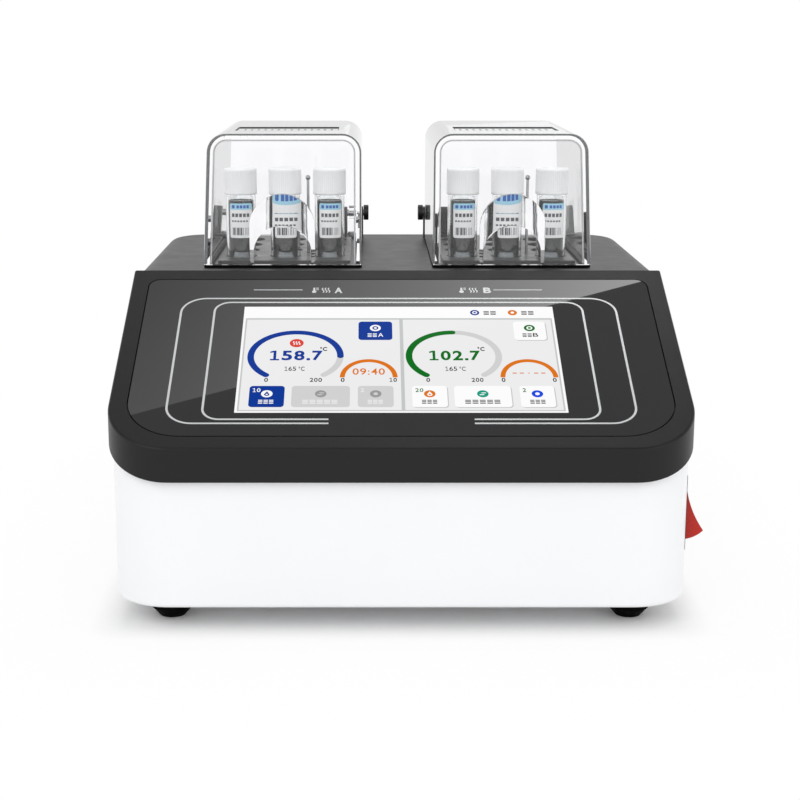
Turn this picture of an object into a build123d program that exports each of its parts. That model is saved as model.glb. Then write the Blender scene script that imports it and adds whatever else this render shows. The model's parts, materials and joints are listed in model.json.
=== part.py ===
from build123d import *
import os
from math import atan2, cos, degrees, pi, radians, sin, sqrt, tan

os.makedirs("parts", exist_ok=True)

# Two-zone tube digester for oxygen demand tests. Millimetres, +Z up, the display faces -Y.
# The pieces are drawn about the case's mid-plane. The finished part's origin is on the bench, under
# the middle of its whole width, which the power switch makes a little wider on the right.

# ---- Case ----------------------------------------------------------------------------------------
cover_width = 271.8
cover_depth = 296.0
front_height = 87.4          # bench to the cover's top edge at the front
deck_height = 149.2          # bench to the level deck
slope_run = 131.2            # front edge to the start of the deck, along the bench
skirt = 15.9                 # upright thickness of the cover's edge
cover_skin = 4.4             # upright thickness of the cover's top
cover_wall = 4.0
front_corner = 30.0
rear_corner = 25.0
deck_edge_round = 9.0
console_edge_round = 1.2
side_overhang = 2.1          # how far the cover stands past the housing
end_overhang = 3.0
housing_wall = 4.0
floor_thickness = 3.0
housing_bottom_round = 2.0
lip_height = 4.0
lip_clearance = 0.3

# ---- Feet, floor plate and screws ----------------------------------------------------------------
foot_height = 10.8
foot_radius = 9.8
foot_tip_radius = 6.0
foot_bevel_height = 4.4
foot_inset_x = 27.9          # foot centres in from the cover's sides and ends
foot_inset_y = 27.0
foot_recess_radius = 4.4
foot_recess_depth = 5.0
screw_radius = 1.95          # M4 screws that hold the feet and the cover
screw_hole_clearance = 0.15
screw_head_radius = 3.6
screw_head_height = 2.4
small_screw_radius = 1.45    # M3 screws
small_head_radius = 2.6
small_head_height = 1.5
plate_thickness = 1.5
plate_clearance = 0.5
cover_screw_inset_x = 19.9   # screw centres in from the cover's sides and ends
cover_screw_inset_y = 63.0
boss_radius = 6.0
boss_meet_height = 66.0      # where the housing's and the cover's screw bosses meet
cover_screw_seat = 10.0      # plastic between the screw head and the meeting face
cover_screw_length = 30.0
cover_screw_spare = 1.0      # how much deeper its hole is

# ---- Glass panel and display ---------------------------------------------------------------------
glass_side = 9.1             # from the cover's sides
glass_length = 127.2
glass_start = 9.1            # from the cover's front edge, along the slope
glass_thickness = 2.0
glass_low_round = 26.0
glass_high_round = 6.0
glass_groove = 0.6
screen_width = 154.1
screen_height = 85.9
screen_start = 26.0          # from the cover's front edge, along the slope
module_border_x = 5.5
module_border_y = 7.0
module_thickness = 6.0
module_clearance = 0.4
bracket_sheet = 1.2
bracket_flange = 7.0

# ---- Heating zones -------------------------------------------------------------------------------
zone_side = 75.9             # from the cover's side to the centre of the zone beside it
well_columns = 3
well_rows = 4
first_row_inset = 117.0      # from the cover's back to the front row
well_radius = 8.2
well_web = 7.6               # metal between one row of wells and the next
well_depth = 54.0            # below the deck
well_foot_round = 3.0        # corner between a well's wall and its floor
block_wall_x = 4.3           # metal outside the outer wells
block_wall_y = 4.3
block_floor = 8.0
block_top_gap = 5.0          # block top below the deck
heater_thickness = 2.0
jacket_wall = 8.0
jacket_clearance = 0.3
tray_thickness = 1.5
stand_leg_radius = 4.0
stand_leg_inset = 9.0
heater_inset = 1.5
cover_plate_margin = 6.1     # from the hood's sides to the plate's
cover_plate_edge = 2.85      # plate outside its outer holes
cover_plate_front_run = 21.0  # from the plate's front edge to the front row
cover_plate_back_run = 13.0   # from the back row to the plate's back edge
cover_plate_thickness = 1.6
cover_plate_round = 3.0
cover_plate_bevel = 0.4
cover_plate_seat = 2.25      # how far the plate rests on the deck round its opening
plate_hole_radius = 8.4
probe_radius = 0.8
probe_height = 42.0          # above the deck
probe_ball_radius = 1.4
probe_depth = 50.0           # below the deck
probe_clearance = 0.05
cutout_radius = 8.0
cutout_body = 6.0
cutout_tab_length = 6.0
cutout_tab_thickness = 0.8
cutout_tab_width = 4.8
cutout_rise = 22.0           # above the block's underside

# ---- Hoods ---------------------------------------------------------------------------------------
hood_width = 82.7
hood_length = 129.0
hood_shift = 0.15            # the hood's middle is this much nearer the mid-plane than its zone's
hood_back_inset = 26.0       # from the cover's back
hood_height = 69.5           # above the deck
hood_lean = 3.0              # the outer wall leans in by this much at the top
hood_wall = 3.0
hood_top_round = 10.0
hood_back_round = 5.0
hood_front_round = 1.2
seal_height = 1.2
seal_width = 4.0
seal_gap = 0.3
seal_corner = 3.0
vent_margin = 13.85          # from the hood's sides
vent_length = 35.0
vent_start = 25.0            # behind the hood's front
vent_depth = 1.0
vent_slot_width = 1.6
vent_slot_length = 12.0
vent_slots = 14
vent_slot_margin = 4.1       # from the vent's side to the middle of its first slot
vent_row_gap = 3.6           # between the two rows of slots
grip_width = 34.0
grip_height = 38.7           # above the deck
grip_crown = 6.5             # how far the grip stands proud at its fullest
grip_crown_height = 29.0
grip_foot_crown = 2.4
grip_round_upright = 22.0
grip_round_across = 58.0
finger_width = 30.0
finger_height = 22.6

# ---- Hinges --------------------------------------------------------------------------------------
hinge_reach = 7.0            # the hinge's axis behind the hood
hinge_rise = 14.5            # above the deck
hinge_pin_radius = 2.0
hinge_running_clearance = 0.05
hinge_fork = 11.0            # from the middle of a post to the middle of its ear
hinge_post_width = 5.0
hinge_inset = 0.35           # the middle of an ear inside the line of the hood's side
hinge_ear_width = 2.0
hinge_head_radius = 3.6
hinge_base_thickness = 1.6
hinge_base_depth = 13.0
hinge_arm_width = 5.6
hinge_arm_radius = 4.4
knob_radius = 4.5
knob_width = 3.0
knob_gap = 0.2
knob_bore_depth = 2.0
knob_bevel = 0.3
hinge_base_round = 1.5

# ---- Sample tubes --------------------------------------------------------------------------------
tube_radius = 8.0
tube_wall = 1.2
tube_shoulder = 35.0         # above the deck
tube_neck_radius = 6.8
tube_neck_height = 10.5
tube_end_round = 4.0
cap_radius = 8.8
cap_height = 14.0
cap_wall_clearance = 0.1
cap_edge_round = 1.0

# ---- Power switch --------------------------------------------------------------------------------
switch_inset = 43.0          # from the cover's front
switch_z = 48.7
rocker_radius = 14.25
rocker_width = 18.0
rocker_half_angle = 64.4
rocker_tilt = 20.4
rocker_dish = 1.7
rocker_back = 5.5
rocker_inset = 0.4           # pivot below the housing's face
rocker_gap = 0.35
rocker_pin_radius = 0.9
rocker_pin_clearance = 0.05
rocker_pin_length = 1.1
switch_wall = 1.5
switch_flange = 2.0
switch_flange_thickness = 1.8
switch_flange_rise = 0.8     # how far the flange stands proud of the housing
switch_depth = 20.0
switch_fit = 0.2
switch_tab_pitch = 8.0
switch_tab_thickness = 0.8
switch_tab_width = 6.3
switch_tab_length = 7.0
rocker_tip_round = 0.4

# ---- Power inlet ---------------------------------------------------------------------------------
inlet_inset = 51.9           # from the cover's side
inlet_z = 46.0
inlet_flange_width = 50.0
inlet_flange_height = 44.0
inlet_flange_thickness = 2.0
inlet_body_width = 30.0
inlet_body_height = 40.0
inlet_body_depth = 22.0
inlet_socket_width = 24.6
inlet_socket_height = 17.2
inlet_socket_depth = 16.5
inlet_socket_drop = 8.6      # socket centre below the flange's centre
inlet_pin_spacing = 14.0
inlet_pin_width = 2.0
inlet_pin_height = 4.0
inlet_pin_length = 14.0
inlet_earth_offset = 4.0
inlet_flange_round = 3.0
inlet_socket_bevel = 4.5
inlet_head_radius = 2.6
inlet_head_height = 0.9
inlet_screw_spacing = 40.0
fuse_width = 20.0
fuse_height = 9.0
fuse_rise = 10.5             # drawer centre above the flange's centre
fuse_depth = 19.0
fuse_gap = 0.3
fuse_face = 0.8
fuse_grip_depth = 1.5

# ---- Fan -----------------------------------------------------------------------------------------
fan_x = 0.0
fan_z = 45.0
fan_size = 50.0
fan_depth = 20.0
fan_bore_radius = 23.4
fan_screw_inset = 5.0        # screw centres in from the fan's edges
fan_corner_round = 4.0
fan_spider = 3.0
fan_spoke_width = 3.0
fan_hub_radius = 12.0
fan_hub_length = 13.0
fan_blade_radius = 21.8
fan_blade_length = 13.0
fan_blade_pitch = 40.0
fan_blades = 7
fan_blade_thickness = 1.4
rotor_gap = 1.0
fan_pin_radius = 1.5
fan_pin_clearance = 0.05
guard_thickness = 1.1
guard_wire = 1.6
guard_ring_pitch = 6.0
guard_rings = 3
guard_rim = 2.0
guard_ear_radius = 4.2
guard_bar_angle = 45.0
rear_slot_width = 3.0
rear_slot_height = 26.0
rear_slot_pitch = 6.5
rear_slots = 6
rear_slot_inset = 55.9       # from the cover's side to the middle slot

# ---- Electronics ---------------------------------------------------------------------------------
supply_width = 82.0
supply_length = 99.0
supply_height = 30.0
supply_inset_x = 32.4        # from the cover's side and front to the supply's
supply_inset_y = 13.5
supply_sheet = 1.0
board_width = 92.0
board_length = 74.0
board_thickness = 1.6
board_inset_x = 33.9         # from the cover's side and front to the board's
board_inset_y = 55.0
board_rise = 8.0
standoff_radius = 2.5
standoff_inset = 4.0
relay_width = 45.0
relay_length = 58.0
relay_height = 26.0
ribbon_width = 20.0
ribbon_thickness = 0.8

terminal_depth = 9.0
terminal_height = 12.0
plug_wall = 2.0
plug_depth = 7.0
plug_height = 6.0
chip_size = 20.0
chip_round = 0.8
chip_height = 2.2
relay_round = 2.0
relay_screw_depth = 4.0
ribbon_run = 16.0
ribbon_bend = 7.0

# ---- Worked out from the sizes above -------------------------------------------------------------
cover_front = -cover_depth / 2
cover_back = cover_depth / 2
crease_y = cover_front + slope_run
slope_angle = degrees(atan2(deck_height - front_height, slope_run))
slope_cos = cos(radians(slope_angle))
slope_sin = sin(radians(slope_angle))
console = Plane(origin=(0, cover_front, front_height), x_dir=(1, 0, 0), z_dir=(0, -slope_sin, slope_cos))
housing_side = cover_width / 2 - side_overhang
housing_back = cover_back - end_overhang
housing_inner_back = housing_back - housing_wall
floor_top = foot_height + floor_thickness
plate_top = floor_top + plate_thickness
screw_hole_radius = screw_radius + screw_hole_clearance
small_hole_radius = small_screw_radius + screw_hole_clearance
foot_spacing_x = cover_width - 2 * foot_inset_x
foot_spacing_y = cover_depth - 2 * foot_inset_y
cover_screw_spacing_x = cover_width - 2 * cover_screw_inset_x
cover_screw_spacing_y = cover_depth - 2 * cover_screw_inset_y
glass_width = cover_width - 2 * glass_side
zone_x = cover_width / 2 - zone_side
cover_plate_width = hood_width - 2 * cover_plate_margin
column_pitch = (cover_plate_width - 2 * (plate_hole_radius + cover_plate_edge)) / (well_columns - 1)
row_pitch = 2 * well_radius + well_web
first_row_y = cover_back - first_row_inset
last_row_y = first_row_y + row_pitch * (well_rows - 1)
rows_centre_y = (first_row_y + last_row_y) / 2
cover_plate_front = first_row_y - cover_plate_front_run
cover_plate_back = last_row_y + cover_plate_back_run
block_width = column_pitch * (well_columns - 1) + 2 * (well_radius + block_wall_x)
block_length = last_row_y - first_row_y + 2 * (well_radius + block_wall_y)
block_top = deck_height - block_top_gap
well_bottom = deck_height - well_depth
block_bottom = well_bottom - block_floor
heater_bottom = block_bottom - heater_thickness
jacket_bottom = heater_bottom - jacket_wall
jacket_top = deck_height - cover_skin
tray_bottom = jacket_bottom - tray_thickness
jacket_width = block_width + 2 * (jacket_clearance + jacket_wall)
jacket_length = block_length + 2 * (jacket_clearance + jacket_wall)
block_front = rows_centre_y - block_length / 2
deck_opening_width = cover_plate_width - 2 * cover_plate_seat
probe_y = first_row_y + row_pitch / 2
cutout_z = block_bottom + cutout_rise
hood_inner_x = zone_x - hood_shift - hood_width / 2
hood_back = cover_back - hood_back_inset
hood_front = hood_back - hood_length
hood_bottom = deck_height + seal_height + seal_gap
hood_top = deck_height + hood_height
hood_centre_y = (hood_front + hood_back) / 2
vent_width = hood_width - 2 * vent_margin
vent_slot_pitch = (vent_width - 2 * vent_slot_margin) / (vent_slots - 1)
hinge_y = hood_back + hinge_reach
hinge_z = deck_height + hinge_rise
hinge_ear_offset = hood_width / 2 - hinge_inset
hinge_post_offset = hinge_ear_offset - hinge_fork
screen_centre = screen_start + screen_height / 2
module_width = screen_width + 2 * module_border_x
module_height = screen_height + 2 * module_border_y
module_back = glass_thickness + module_thickness
skin_across = cover_skin * slope_cos
rocker_x = housing_side - rocker_inset
hinge_screw_offset = (hinge_post_offset + hinge_ear_offset) / 2
hinge_post_face = hinge_post_offset + hinge_post_width / 2
hinge_ear_face = hinge_ear_offset - hinge_ear_width / 2
hinge_arm_offset = (hinge_post_face + hinge_ear_face) / 2
hinge_outer_face = hinge_ear_offset + hinge_ear_width / 2
hinge_bore_radius = hinge_pin_radius + hinge_running_clearance
hinge_pin_start = hinge_post_offset - hinge_post_width / 2
hinge_pin_length = hinge_outer_face + knob_gap + knob_bore_depth - hinge_pin_start
switch_y = cover_front + switch_inset
inlet_x = cover_width / 2 - inlet_inset
rear_slot_x = cover_width / 2 - rear_slot_inset
fan_screw_spacing = fan_size - 2 * fan_screw_inset
supply_x = supply_inset_x + (supply_width - cover_width) / 2
supply_y = cover_front + supply_inset_y + supply_length / 2
board_x = (cover_width - board_width) / 2 - board_inset_x
board_y = cover_front + board_inset_y + board_length / 2
rocker_reach = rocker_x + rocker_radius * cos(radians(rocker_half_angle - rocker_tilt))
origin_x = (rocker_reach - cover_width / 2) / 2
zones = (("a", -zone_x), ("b", zone_x))


def line_height(y):
    """Height of the cover's outer line over a point y."""
    if y > crease_y:
        return deck_height
    return front_height + (y - cover_front) * tan(radians(slope_angle))


def save(piece, name):
    """Move a finished piece from the case's mid-plane to the part's origin, label it and write it out."""
    placed = piece.part.moved(Location((-origin_x, 0, 0)))
    placed.label = name
    export_step(placed, f"parts/{name}.step")


def under_cover_line(side_inset, end_inset, drop, low):
    """Solid from a level bottom up to the cover's line, lowered by drop and set in all round."""
    front = cover_front + end_inset
    back = cover_back - end_inset
    with BuildPart() as body:
        with BuildSketch(Plane.YZ):
            with BuildLine():
                Polyline(
                    (front, low),
                    (front, line_height(front) - drop),
                    (crease_y, deck_height - drop),
                    (back, deck_height - drop),
                    (back, low),
                    close=True,
                )
            make_face()
        extrude(amount=cover_width / 2 - side_inset, both=True)
        uprights = body.edges().filter_by(Axis.Z).group_by(Axis.Y)
        fillet(uprights[0], radius=front_corner - end_inset)
        uprights = body.edges().filter_by(Axis.Z).group_by(Axis.Y)
        fillet(uprights[-1], radius=rear_corner - end_inset)
    return body.part


def glass_solid(top, bottom, grow):
    """The glass panel's outline, grown all round, between two depths under the console's face."""
    with BuildPart() as slab:
        with BuildSketch(console.offset(-bottom)) as outline:
            with Locations((0, glass_start + glass_length / 2)):
                Rectangle(glass_width + 2 * grow, glass_length + 2 * grow)
            fillet(outline.vertices().group_by(Axis.Y)[0], radius=glass_low_round + grow)
            fillet(outline.vertices().group_by(Axis.Y)[-1], radius=glass_high_round + grow)
        extrude(amount=bottom - top)
    return slab.part


# ---- Lower housing -------------------------------------------------------------------------------
with BuildPart() as lower_housing:
    add(under_cover_line(side_overhang, end_overhang, skirt, foot_height))
    fillet(lower_housing.edges().group_by(Axis.Z)[0], radius=housing_bottom_round)
    lip_inset = cover_wall + lip_clearance
    add(under_cover_line(lip_inset, lip_inset, skirt - lip_height, floor_top))
    inner_side = side_overhang + housing_wall
    inner_end = end_overhang + housing_wall
    add(under_cover_line(inner_side, inner_end, -deck_height, floor_top), mode=Mode.SUBTRACT)
    # Bosses for the cover's screws, which go in from below
    with BuildSketch(Plane.XY.offset(foot_height)):
        with GridLocations(cover_screw_spacing_x, cover_screw_spacing_y, 2, 2):
            Circle(boss_radius)
    extrude(amount=boss_meet_height - foot_height)
    with BuildSketch(Plane.XY.offset(foot_height)):
        with GridLocations(cover_screw_spacing_x, cover_screw_spacing_y, 2, 2):
            Circle(screw_head_radius + 2 * screw_hole_clearance)
    extrude(amount=boss_meet_height - cover_screw_seat - foot_height, mode=Mode.SUBTRACT)
    with BuildSketch(Plane.XY.offset(foot_height)):
        with GridLocations(cover_screw_spacing_x, cover_screw_spacing_y, 2, 2):
            Circle(screw_hole_radius)
        with GridLocations(foot_spacing_x, foot_spacing_y, 2, 2):
            Circle(screw_hole_radius)
    extrude(amount=boss_meet_height, mode=Mode.SUBTRACT)
    # Switch: a shallow seat for its flange and the hole for its body
    switch_face = Plane.YZ.offset(housing_side)
    switch_hole_width = rocker_width + 2 * (rocker_gap + switch_wall)
    switch_hole_height = 2 * (rocker_radius + rocker_gap + switch_wall)
    with BuildSketch(switch_face):
        with Locations((switch_y, switch_z)):
            Rectangle(switch_hole_width + 2 * (switch_flange + switch_fit),
                      switch_hole_height + 2 * (switch_flange + switch_fit))
    extrude(amount=switch_flange_rise - switch_flange_thickness, mode=Mode.SUBTRACT)
    with BuildSketch(switch_face):
        with Locations((switch_y, switch_z)):
            Rectangle(switch_hole_width + 2 * switch_fit, switch_hole_height + 2 * switch_fit)
    extrude(amount=-2 * housing_wall, mode=Mode.SUBTRACT)
    # Rear wall: power inlet, fan and air slots. The sketch faces the rear, so its x runs to -X
    rear_face = Plane(origin=(0, housing_back, 0), x_dir=(-1, 0, 0), z_dir=(0, 1, 0))
    with BuildSketch(rear_face):
        with Locations((-inlet_x, inlet_z)):
            Rectangle(inlet_body_width + 2 * fuse_gap, inlet_body_height + 2 * fuse_gap)
            with GridLocations(inlet_screw_spacing, 0, 2, 1):
                Circle(small_hole_radius)
        with Locations((-fan_x, fan_z)):
            Circle(fan_bore_radius)
            with GridLocations(fan_screw_spacing, fan_screw_spacing, 2, 2):
                Circle(small_hole_radius)
        with Locations((rear_slot_x, fan_z)):
            with GridLocations(rear_slot_pitch, 0, rear_slots, 1):
                SlotOverall(rear_slot_height, rear_slot_width, rotation=90)
    extrude(amount=-2 * housing_wall, mode=Mode.SUBTRACT)
save(lower_housing, "lower_housing")

# ---- Upper cover ---------------------------------------------------------------------------------
with BuildPart() as console_slab:
    with BuildSketch(Plane.YZ):
        with BuildLine():
            Polyline(
                (cover_front, front_height - skirt),
                (cover_front, front_height),
                (crease_y, deck_height),
                (crease_y, deck_height - skirt),
                close=True,
            )
        make_face()
    extrude(amount=cover_width / 2, both=True)
    with BuildSketch() as console_plan:
        with Locations((0, (cover_front + crease_y) / 2)):
            Rectangle(cover_width, slope_run)
        fillet(console_plan.vertices().group_by(Axis.Y)[0], radius=front_corner)
    extrude(amount=deck_height, mode=Mode.INTERSECT)
    console_top = console_slab.faces().sort_by(Axis((0, 0, 0), (0, -slope_sin, slope_cos)))[-1]
    fillet(console_top.edges().sort_by(Axis.Y)[:-1], radius=console_edge_round)

# Bosses over those of the housing, ending inside the cover's skin
with BuildPart() as cover_bosses:
    with BuildSketch(Plane.XY.offset(boss_meet_height)):
        with GridLocations(cover_screw_spacing_x, cover_screw_spacing_y, 2, 2):
            Circle(boss_radius)
    extrude(amount=deck_height - boss_meet_height)
    boss_top_drop = (cover_skin + glass_thickness / slope_cos) / 2
    add(under_cover_line(cover_wall, cover_wall, boss_top_drop, foot_height), mode=Mode.INTERSECT)
    with BuildSketch(Plane.XY.offset(boss_meet_height)):
        with GridLocations(cover_screw_spacing_x, cover_screw_spacing_y, 2, 2):
            Circle(screw_hole_radius)
    extrude(amount=cover_screw_length - cover_screw_seat + cover_screw_spare, mode=Mode.SUBTRACT)

with BuildPart() as upper_cover:
    with BuildSketch(Plane.XY.offset(deck_height - skirt)) as deck_outline:
        with Locations((0, (crease_y + cover_back) / 2)):
            Rectangle(cover_width, cover_back - crease_y)
        fillet(deck_outline.vertices().group_by(Axis.Y)[-1], radius=rear_corner)
    extrude(amount=skirt)
    deck_edges = upper_cover.edges().group_by(Axis.Z)[-1].sort_by(Axis.Y)[1:]
    fillet(deck_edges, radius=deck_edge_round)
    add(console_slab.part)
    add(under_cover_line(cover_wall, cover_wall, cover_skin, foot_height), mode=Mode.SUBTRACT)
    add(cover_bosses.part)
    # Seat for the glass, and a window for the display behind it
    add(glass_solid(0, glass_thickness, glass_groove), mode=Mode.SUBTRACT)
    with BuildSketch(console):
        with Locations((0, screen_centre)):
            Rectangle(module_width + 2 * module_clearance, module_height + 2 * module_clearance)
    extrude(amount=-2 * skin_across, mode=Mode.SUBTRACT)
    # Openings over the heating blocks, and the hinge brackets' screw holes
    for zone, centre in zones:
        with BuildSketch(Plane.XY.offset(deck_height)):
            with Locations((centre, rows_centre_y)):
                Rectangle(deck_opening_width, block_length - 2 * jacket_clearance)
            with Locations((centre, hinge_y)):
                with GridLocations(2 * hinge_screw_offset, 0, 2, 1):
                    Circle(small_hole_radius)
        extrude(amount=-2 * cover_skin, mode=Mode.SUBTRACT)
save(upper_cover, "upper_cover")

# ---- Glass panel, display and what holds it ------------------------------------------------------
with BuildPart() as touch_panel:
    add(glass_solid(0, glass_thickness, 0))
save(touch_panel, "touch_panel")

with BuildPart() as display_module:
    with BuildSketch(console.offset(-module_back)):
        with Locations((0, screen_centre)):
            Rectangle(module_width, module_height)
    extrude(amount=module_thickness)
save(display_module, "display_module")

# Hat-shaped sheet that clamps the display against the glass from behind.
# The section plane looks up the slope, with its y running down into the case
display_section = Plane(
    origin=console.from_local_coords((0, screen_centre, 0)),
    x_dir=(1, 0, 0),
    z_dir=(0, slope_cos, slope_sin),
)
with BuildPart() as display_bracket:
    bracket_leg = module_width / 2 + 2 * module_clearance
    with BuildSketch(display_section):
        with BuildLine():
            Polyline(
                (0, module_back),
                (bracket_leg, module_back),
                (bracket_leg, skin_across),
                (bracket_leg + bracket_flange, skin_across),
                (bracket_leg + bracket_flange, skin_across + bracket_sheet),
                (bracket_leg + bracket_sheet, skin_across + bracket_sheet),
                (bracket_leg + bracket_sheet, module_back + bracket_sheet),
                (0, module_back + bracket_sheet),
                close=True,
            )
        make_face()
        mirror(about=Plane.YZ)
    extrude(amount=module_height / 2 - module_border_y, both=True)
    with BuildSketch(console):
        with Locations((board_x, screen_centre)):
            Rectangle(ribbon_width + bracket_flange, bracket_flange)
    extrude(amount=-2 * module_back, mode=Mode.SUBTRACT)
save(display_bracket, "display_bracket")

# ---- Floor plate, feet and screws ----------------------------------------------------------------
with BuildPart() as chassis_plate:
    with BuildSketch(Plane.XY.offset(floor_top)) as plate_outline:
        Rectangle(2 * (housing_side - housing_wall - plate_clearance),
                  2 * (housing_inner_back - plate_clearance))
        fillet(plate_outline.vertices(), radius=front_corner - end_overhang - housing_wall)
        with GridLocations(cover_screw_spacing_x, cover_screw_spacing_y, 2, 2):
            Circle(boss_radius + plate_clearance, mode=Mode.SUBTRACT)
        with GridLocations(foot_spacing_x, foot_spacing_y, 2, 2):
            Circle(screw_hole_radius, mode=Mode.SUBTRACT)
    extrude(amount=plate_thickness)
save(chassis_plate, "chassis_plate")

with BuildPart() as rubber_feet:
    with BuildSketch(Plane.XY):
        with GridLocations(foot_spacing_x, foot_spacing_y, 2, 2):
            Circle(foot_tip_radius)
    foot_taper = degrees(atan2(foot_radius - foot_tip_radius, foot_bevel_height))
    extrude(amount=foot_bevel_height, taper=-foot_taper)
    with BuildSketch(Plane.XY.offset(foot_bevel_height)):
        with GridLocations(foot_spacing_x, foot_spacing_y, 2, 2):
            Circle(foot_radius)
    extrude(amount=foot_height - foot_bevel_height)
    with BuildSketch(Plane.XY):
        with GridLocations(foot_spacing_x, foot_spacing_y, 2, 2):
            Circle(foot_recess_radius)
    extrude(amount=foot_recess_depth, mode=Mode.SUBTRACT)
    with BuildSketch(Plane.XY):
        with GridLocations(foot_spacing_x, foot_spacing_y, 2, 2):
            Circle(screw_hole_radius)
    extrude(amount=foot_height, mode=Mode.SUBTRACT)
save(rubber_feet, "rubber_feet")

with BuildPart() as foot_screws:
    with BuildSketch(Plane.XY.offset(foot_recess_depth - screw_head_height)):
        with GridLocations(foot_spacing_x, foot_spacing_y, 2, 2):
            Circle(screw_head_radius)
    extrude(amount=screw_head_height)
    with BuildSketch(Plane.XY.offset(foot_recess_depth)):
        with GridLocations(foot_spacing_x, foot_spacing_y, 2, 2):
            Circle(screw_radius)
    extrude(amount=plate_top + plate_thickness - foot_recess_depth)
save(foot_screws, "foot_screws")

with BuildPart() as cover_screws:
    cover_screw_face = boss_meet_height - cover_screw_seat
    with BuildSketch(Plane.XY.offset(cover_screw_face - screw_head_height)):
        with GridLocations(cover_screw_spacing_x, cover_screw_spacing_y, 2, 2):
            Circle(screw_head_radius)
    extrude(amount=screw_head_height)
    with BuildSketch(Plane.XY.offset(cover_screw_face)):
        with GridLocations(cover_screw_spacing_x, cover_screw_spacing_y, 2, 2):
            Circle(screw_radius)
    extrude(amount=cover_screw_length)
save(cover_screws, "cover_screws")

# ---- Electronics on the floor plate --------------------------------------------------------------
with BuildPart() as power_supply:
    with BuildSketch(Plane.XY.offset(plate_top)):
        with Locations((supply_x, supply_y)):
            Rectangle(supply_width, supply_length)
    extrude(amount=supply_height)
    supply_end = power_supply.faces().sort_by(Axis.Y)[0]
    offset(amount=-supply_sheet, openings=supply_end)
    with BuildSketch(Plane.XY.offset(plate_top + supply_sheet)):
        with Locations((supply_x, supply_y - supply_length / 2 + terminal_depth)):
            Rectangle(supply_width - 2 * supply_sheet, terminal_depth)
    extrude(amount=terminal_height)
save(power_supply, "power_supply")

board_bottom = plate_top + board_rise
board_top = board_bottom + board_thickness
ribbon_y = board_y - board_length / 2 + 2 * standoff_inset + plug_depth
with BuildPart() as control_board:
    with BuildSketch(Plane.XY.offset(board_bottom)):
        with Locations((board_x, board_y)):
            Rectangle(board_width, board_length)
            with GridLocations(board_width - 2 * standoff_inset, board_length - 2 * standoff_inset, 2, 2):
                Circle(small_hole_radius, mode=Mode.SUBTRACT)
    extrude(amount=board_thickness)
    with BuildSketch(Plane.XY.offset(board_top)):
        with Locations((board_x, ribbon_y)):
            Rectangle(ribbon_width + 2 * plug_wall, plug_depth)
    extrude(amount=plug_height)
    with BuildSketch(Plane.XY.offset(board_top)):
        with Locations((board_x, board_y)):
            RectangleRounded(chip_size, chip_size, chip_round)
    extrude(amount=chip_height)
    with BuildSketch(Plane.XY.offset(board_top)):
        with Locations((board_x, board_y + board_length / 2 - terminal_depth)):
            Rectangle(board_width - 4 * standoff_inset, terminal_depth)
    extrude(amount=terminal_height)
save(control_board, "control_board")

with BuildPart() as board_standoffs:
    with BuildSketch(Plane.XY.offset(plate_top)):
        with Locations((board_x, board_y)):
            with GridLocations(board_width - 2 * standoff_inset, board_length - 2 * standoff_inset, 2, 2):
                Circle(standoff_radius)
    extrude(amount=board_rise)
    with BuildSketch(Plane.XY.offset(board_bottom)):
        with Locations((board_x, board_y)):
            with GridLocations(board_width - 2 * standoff_inset, board_length - 2 * standoff_inset, 2, 2):
                Circle(small_screw_radius)
    extrude(amount=board_thickness + small_head_height)
save(board_standoffs, "board_standoffs")

with BuildPart() as heater_relays:
    with BuildSketch(Plane.XY.offset(plate_top)):
        with Locations((0, rows_centre_y)):
            with GridLocations(2 * zone_x, 0, 2, 1):
                RectangleRounded(relay_width, relay_length, relay_round)
    extrude(amount=relay_height)
    with BuildSketch(Plane.XY.offset(plate_top + relay_height)):
        with Locations((0, rows_centre_y)):
            with GridLocations(2 * zone_x, relay_length - terminal_depth, 2, 2):
                Rectangle(relay_width / 2, terminal_depth / 2)
    extrude(amount=-relay_screw_depth, mode=Mode.SUBTRACT)
save(heater_relays, "heater_relays")

# Flat cable from the display, square off its back and then down into the plug on the board
with BuildPart() as ribbon_cable:
    ribbon_start = console.from_local_coords((0, screen_centre, -module_back))
    ribbon_turn = console.from_local_coords((0, screen_centre, -module_back - ribbon_run))
    with BuildSketch(Plane.YZ.offset(board_x)):
        with BuildLine():
            FilletPolyline(
                (ribbon_start.Y, ribbon_start.Z),
                (ribbon_turn.Y, ribbon_turn.Z),
                (ribbon_y, ribbon_turn.Z - ribbon_run),
                (ribbon_y, board_top + plug_height),
                radius=ribbon_bend,
            )
        trace(line_width=ribbon_thickness)
    extrude(amount=ribbon_width / 2, both=True)
save(ribbon_cable, "ribbon_cable")

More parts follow.
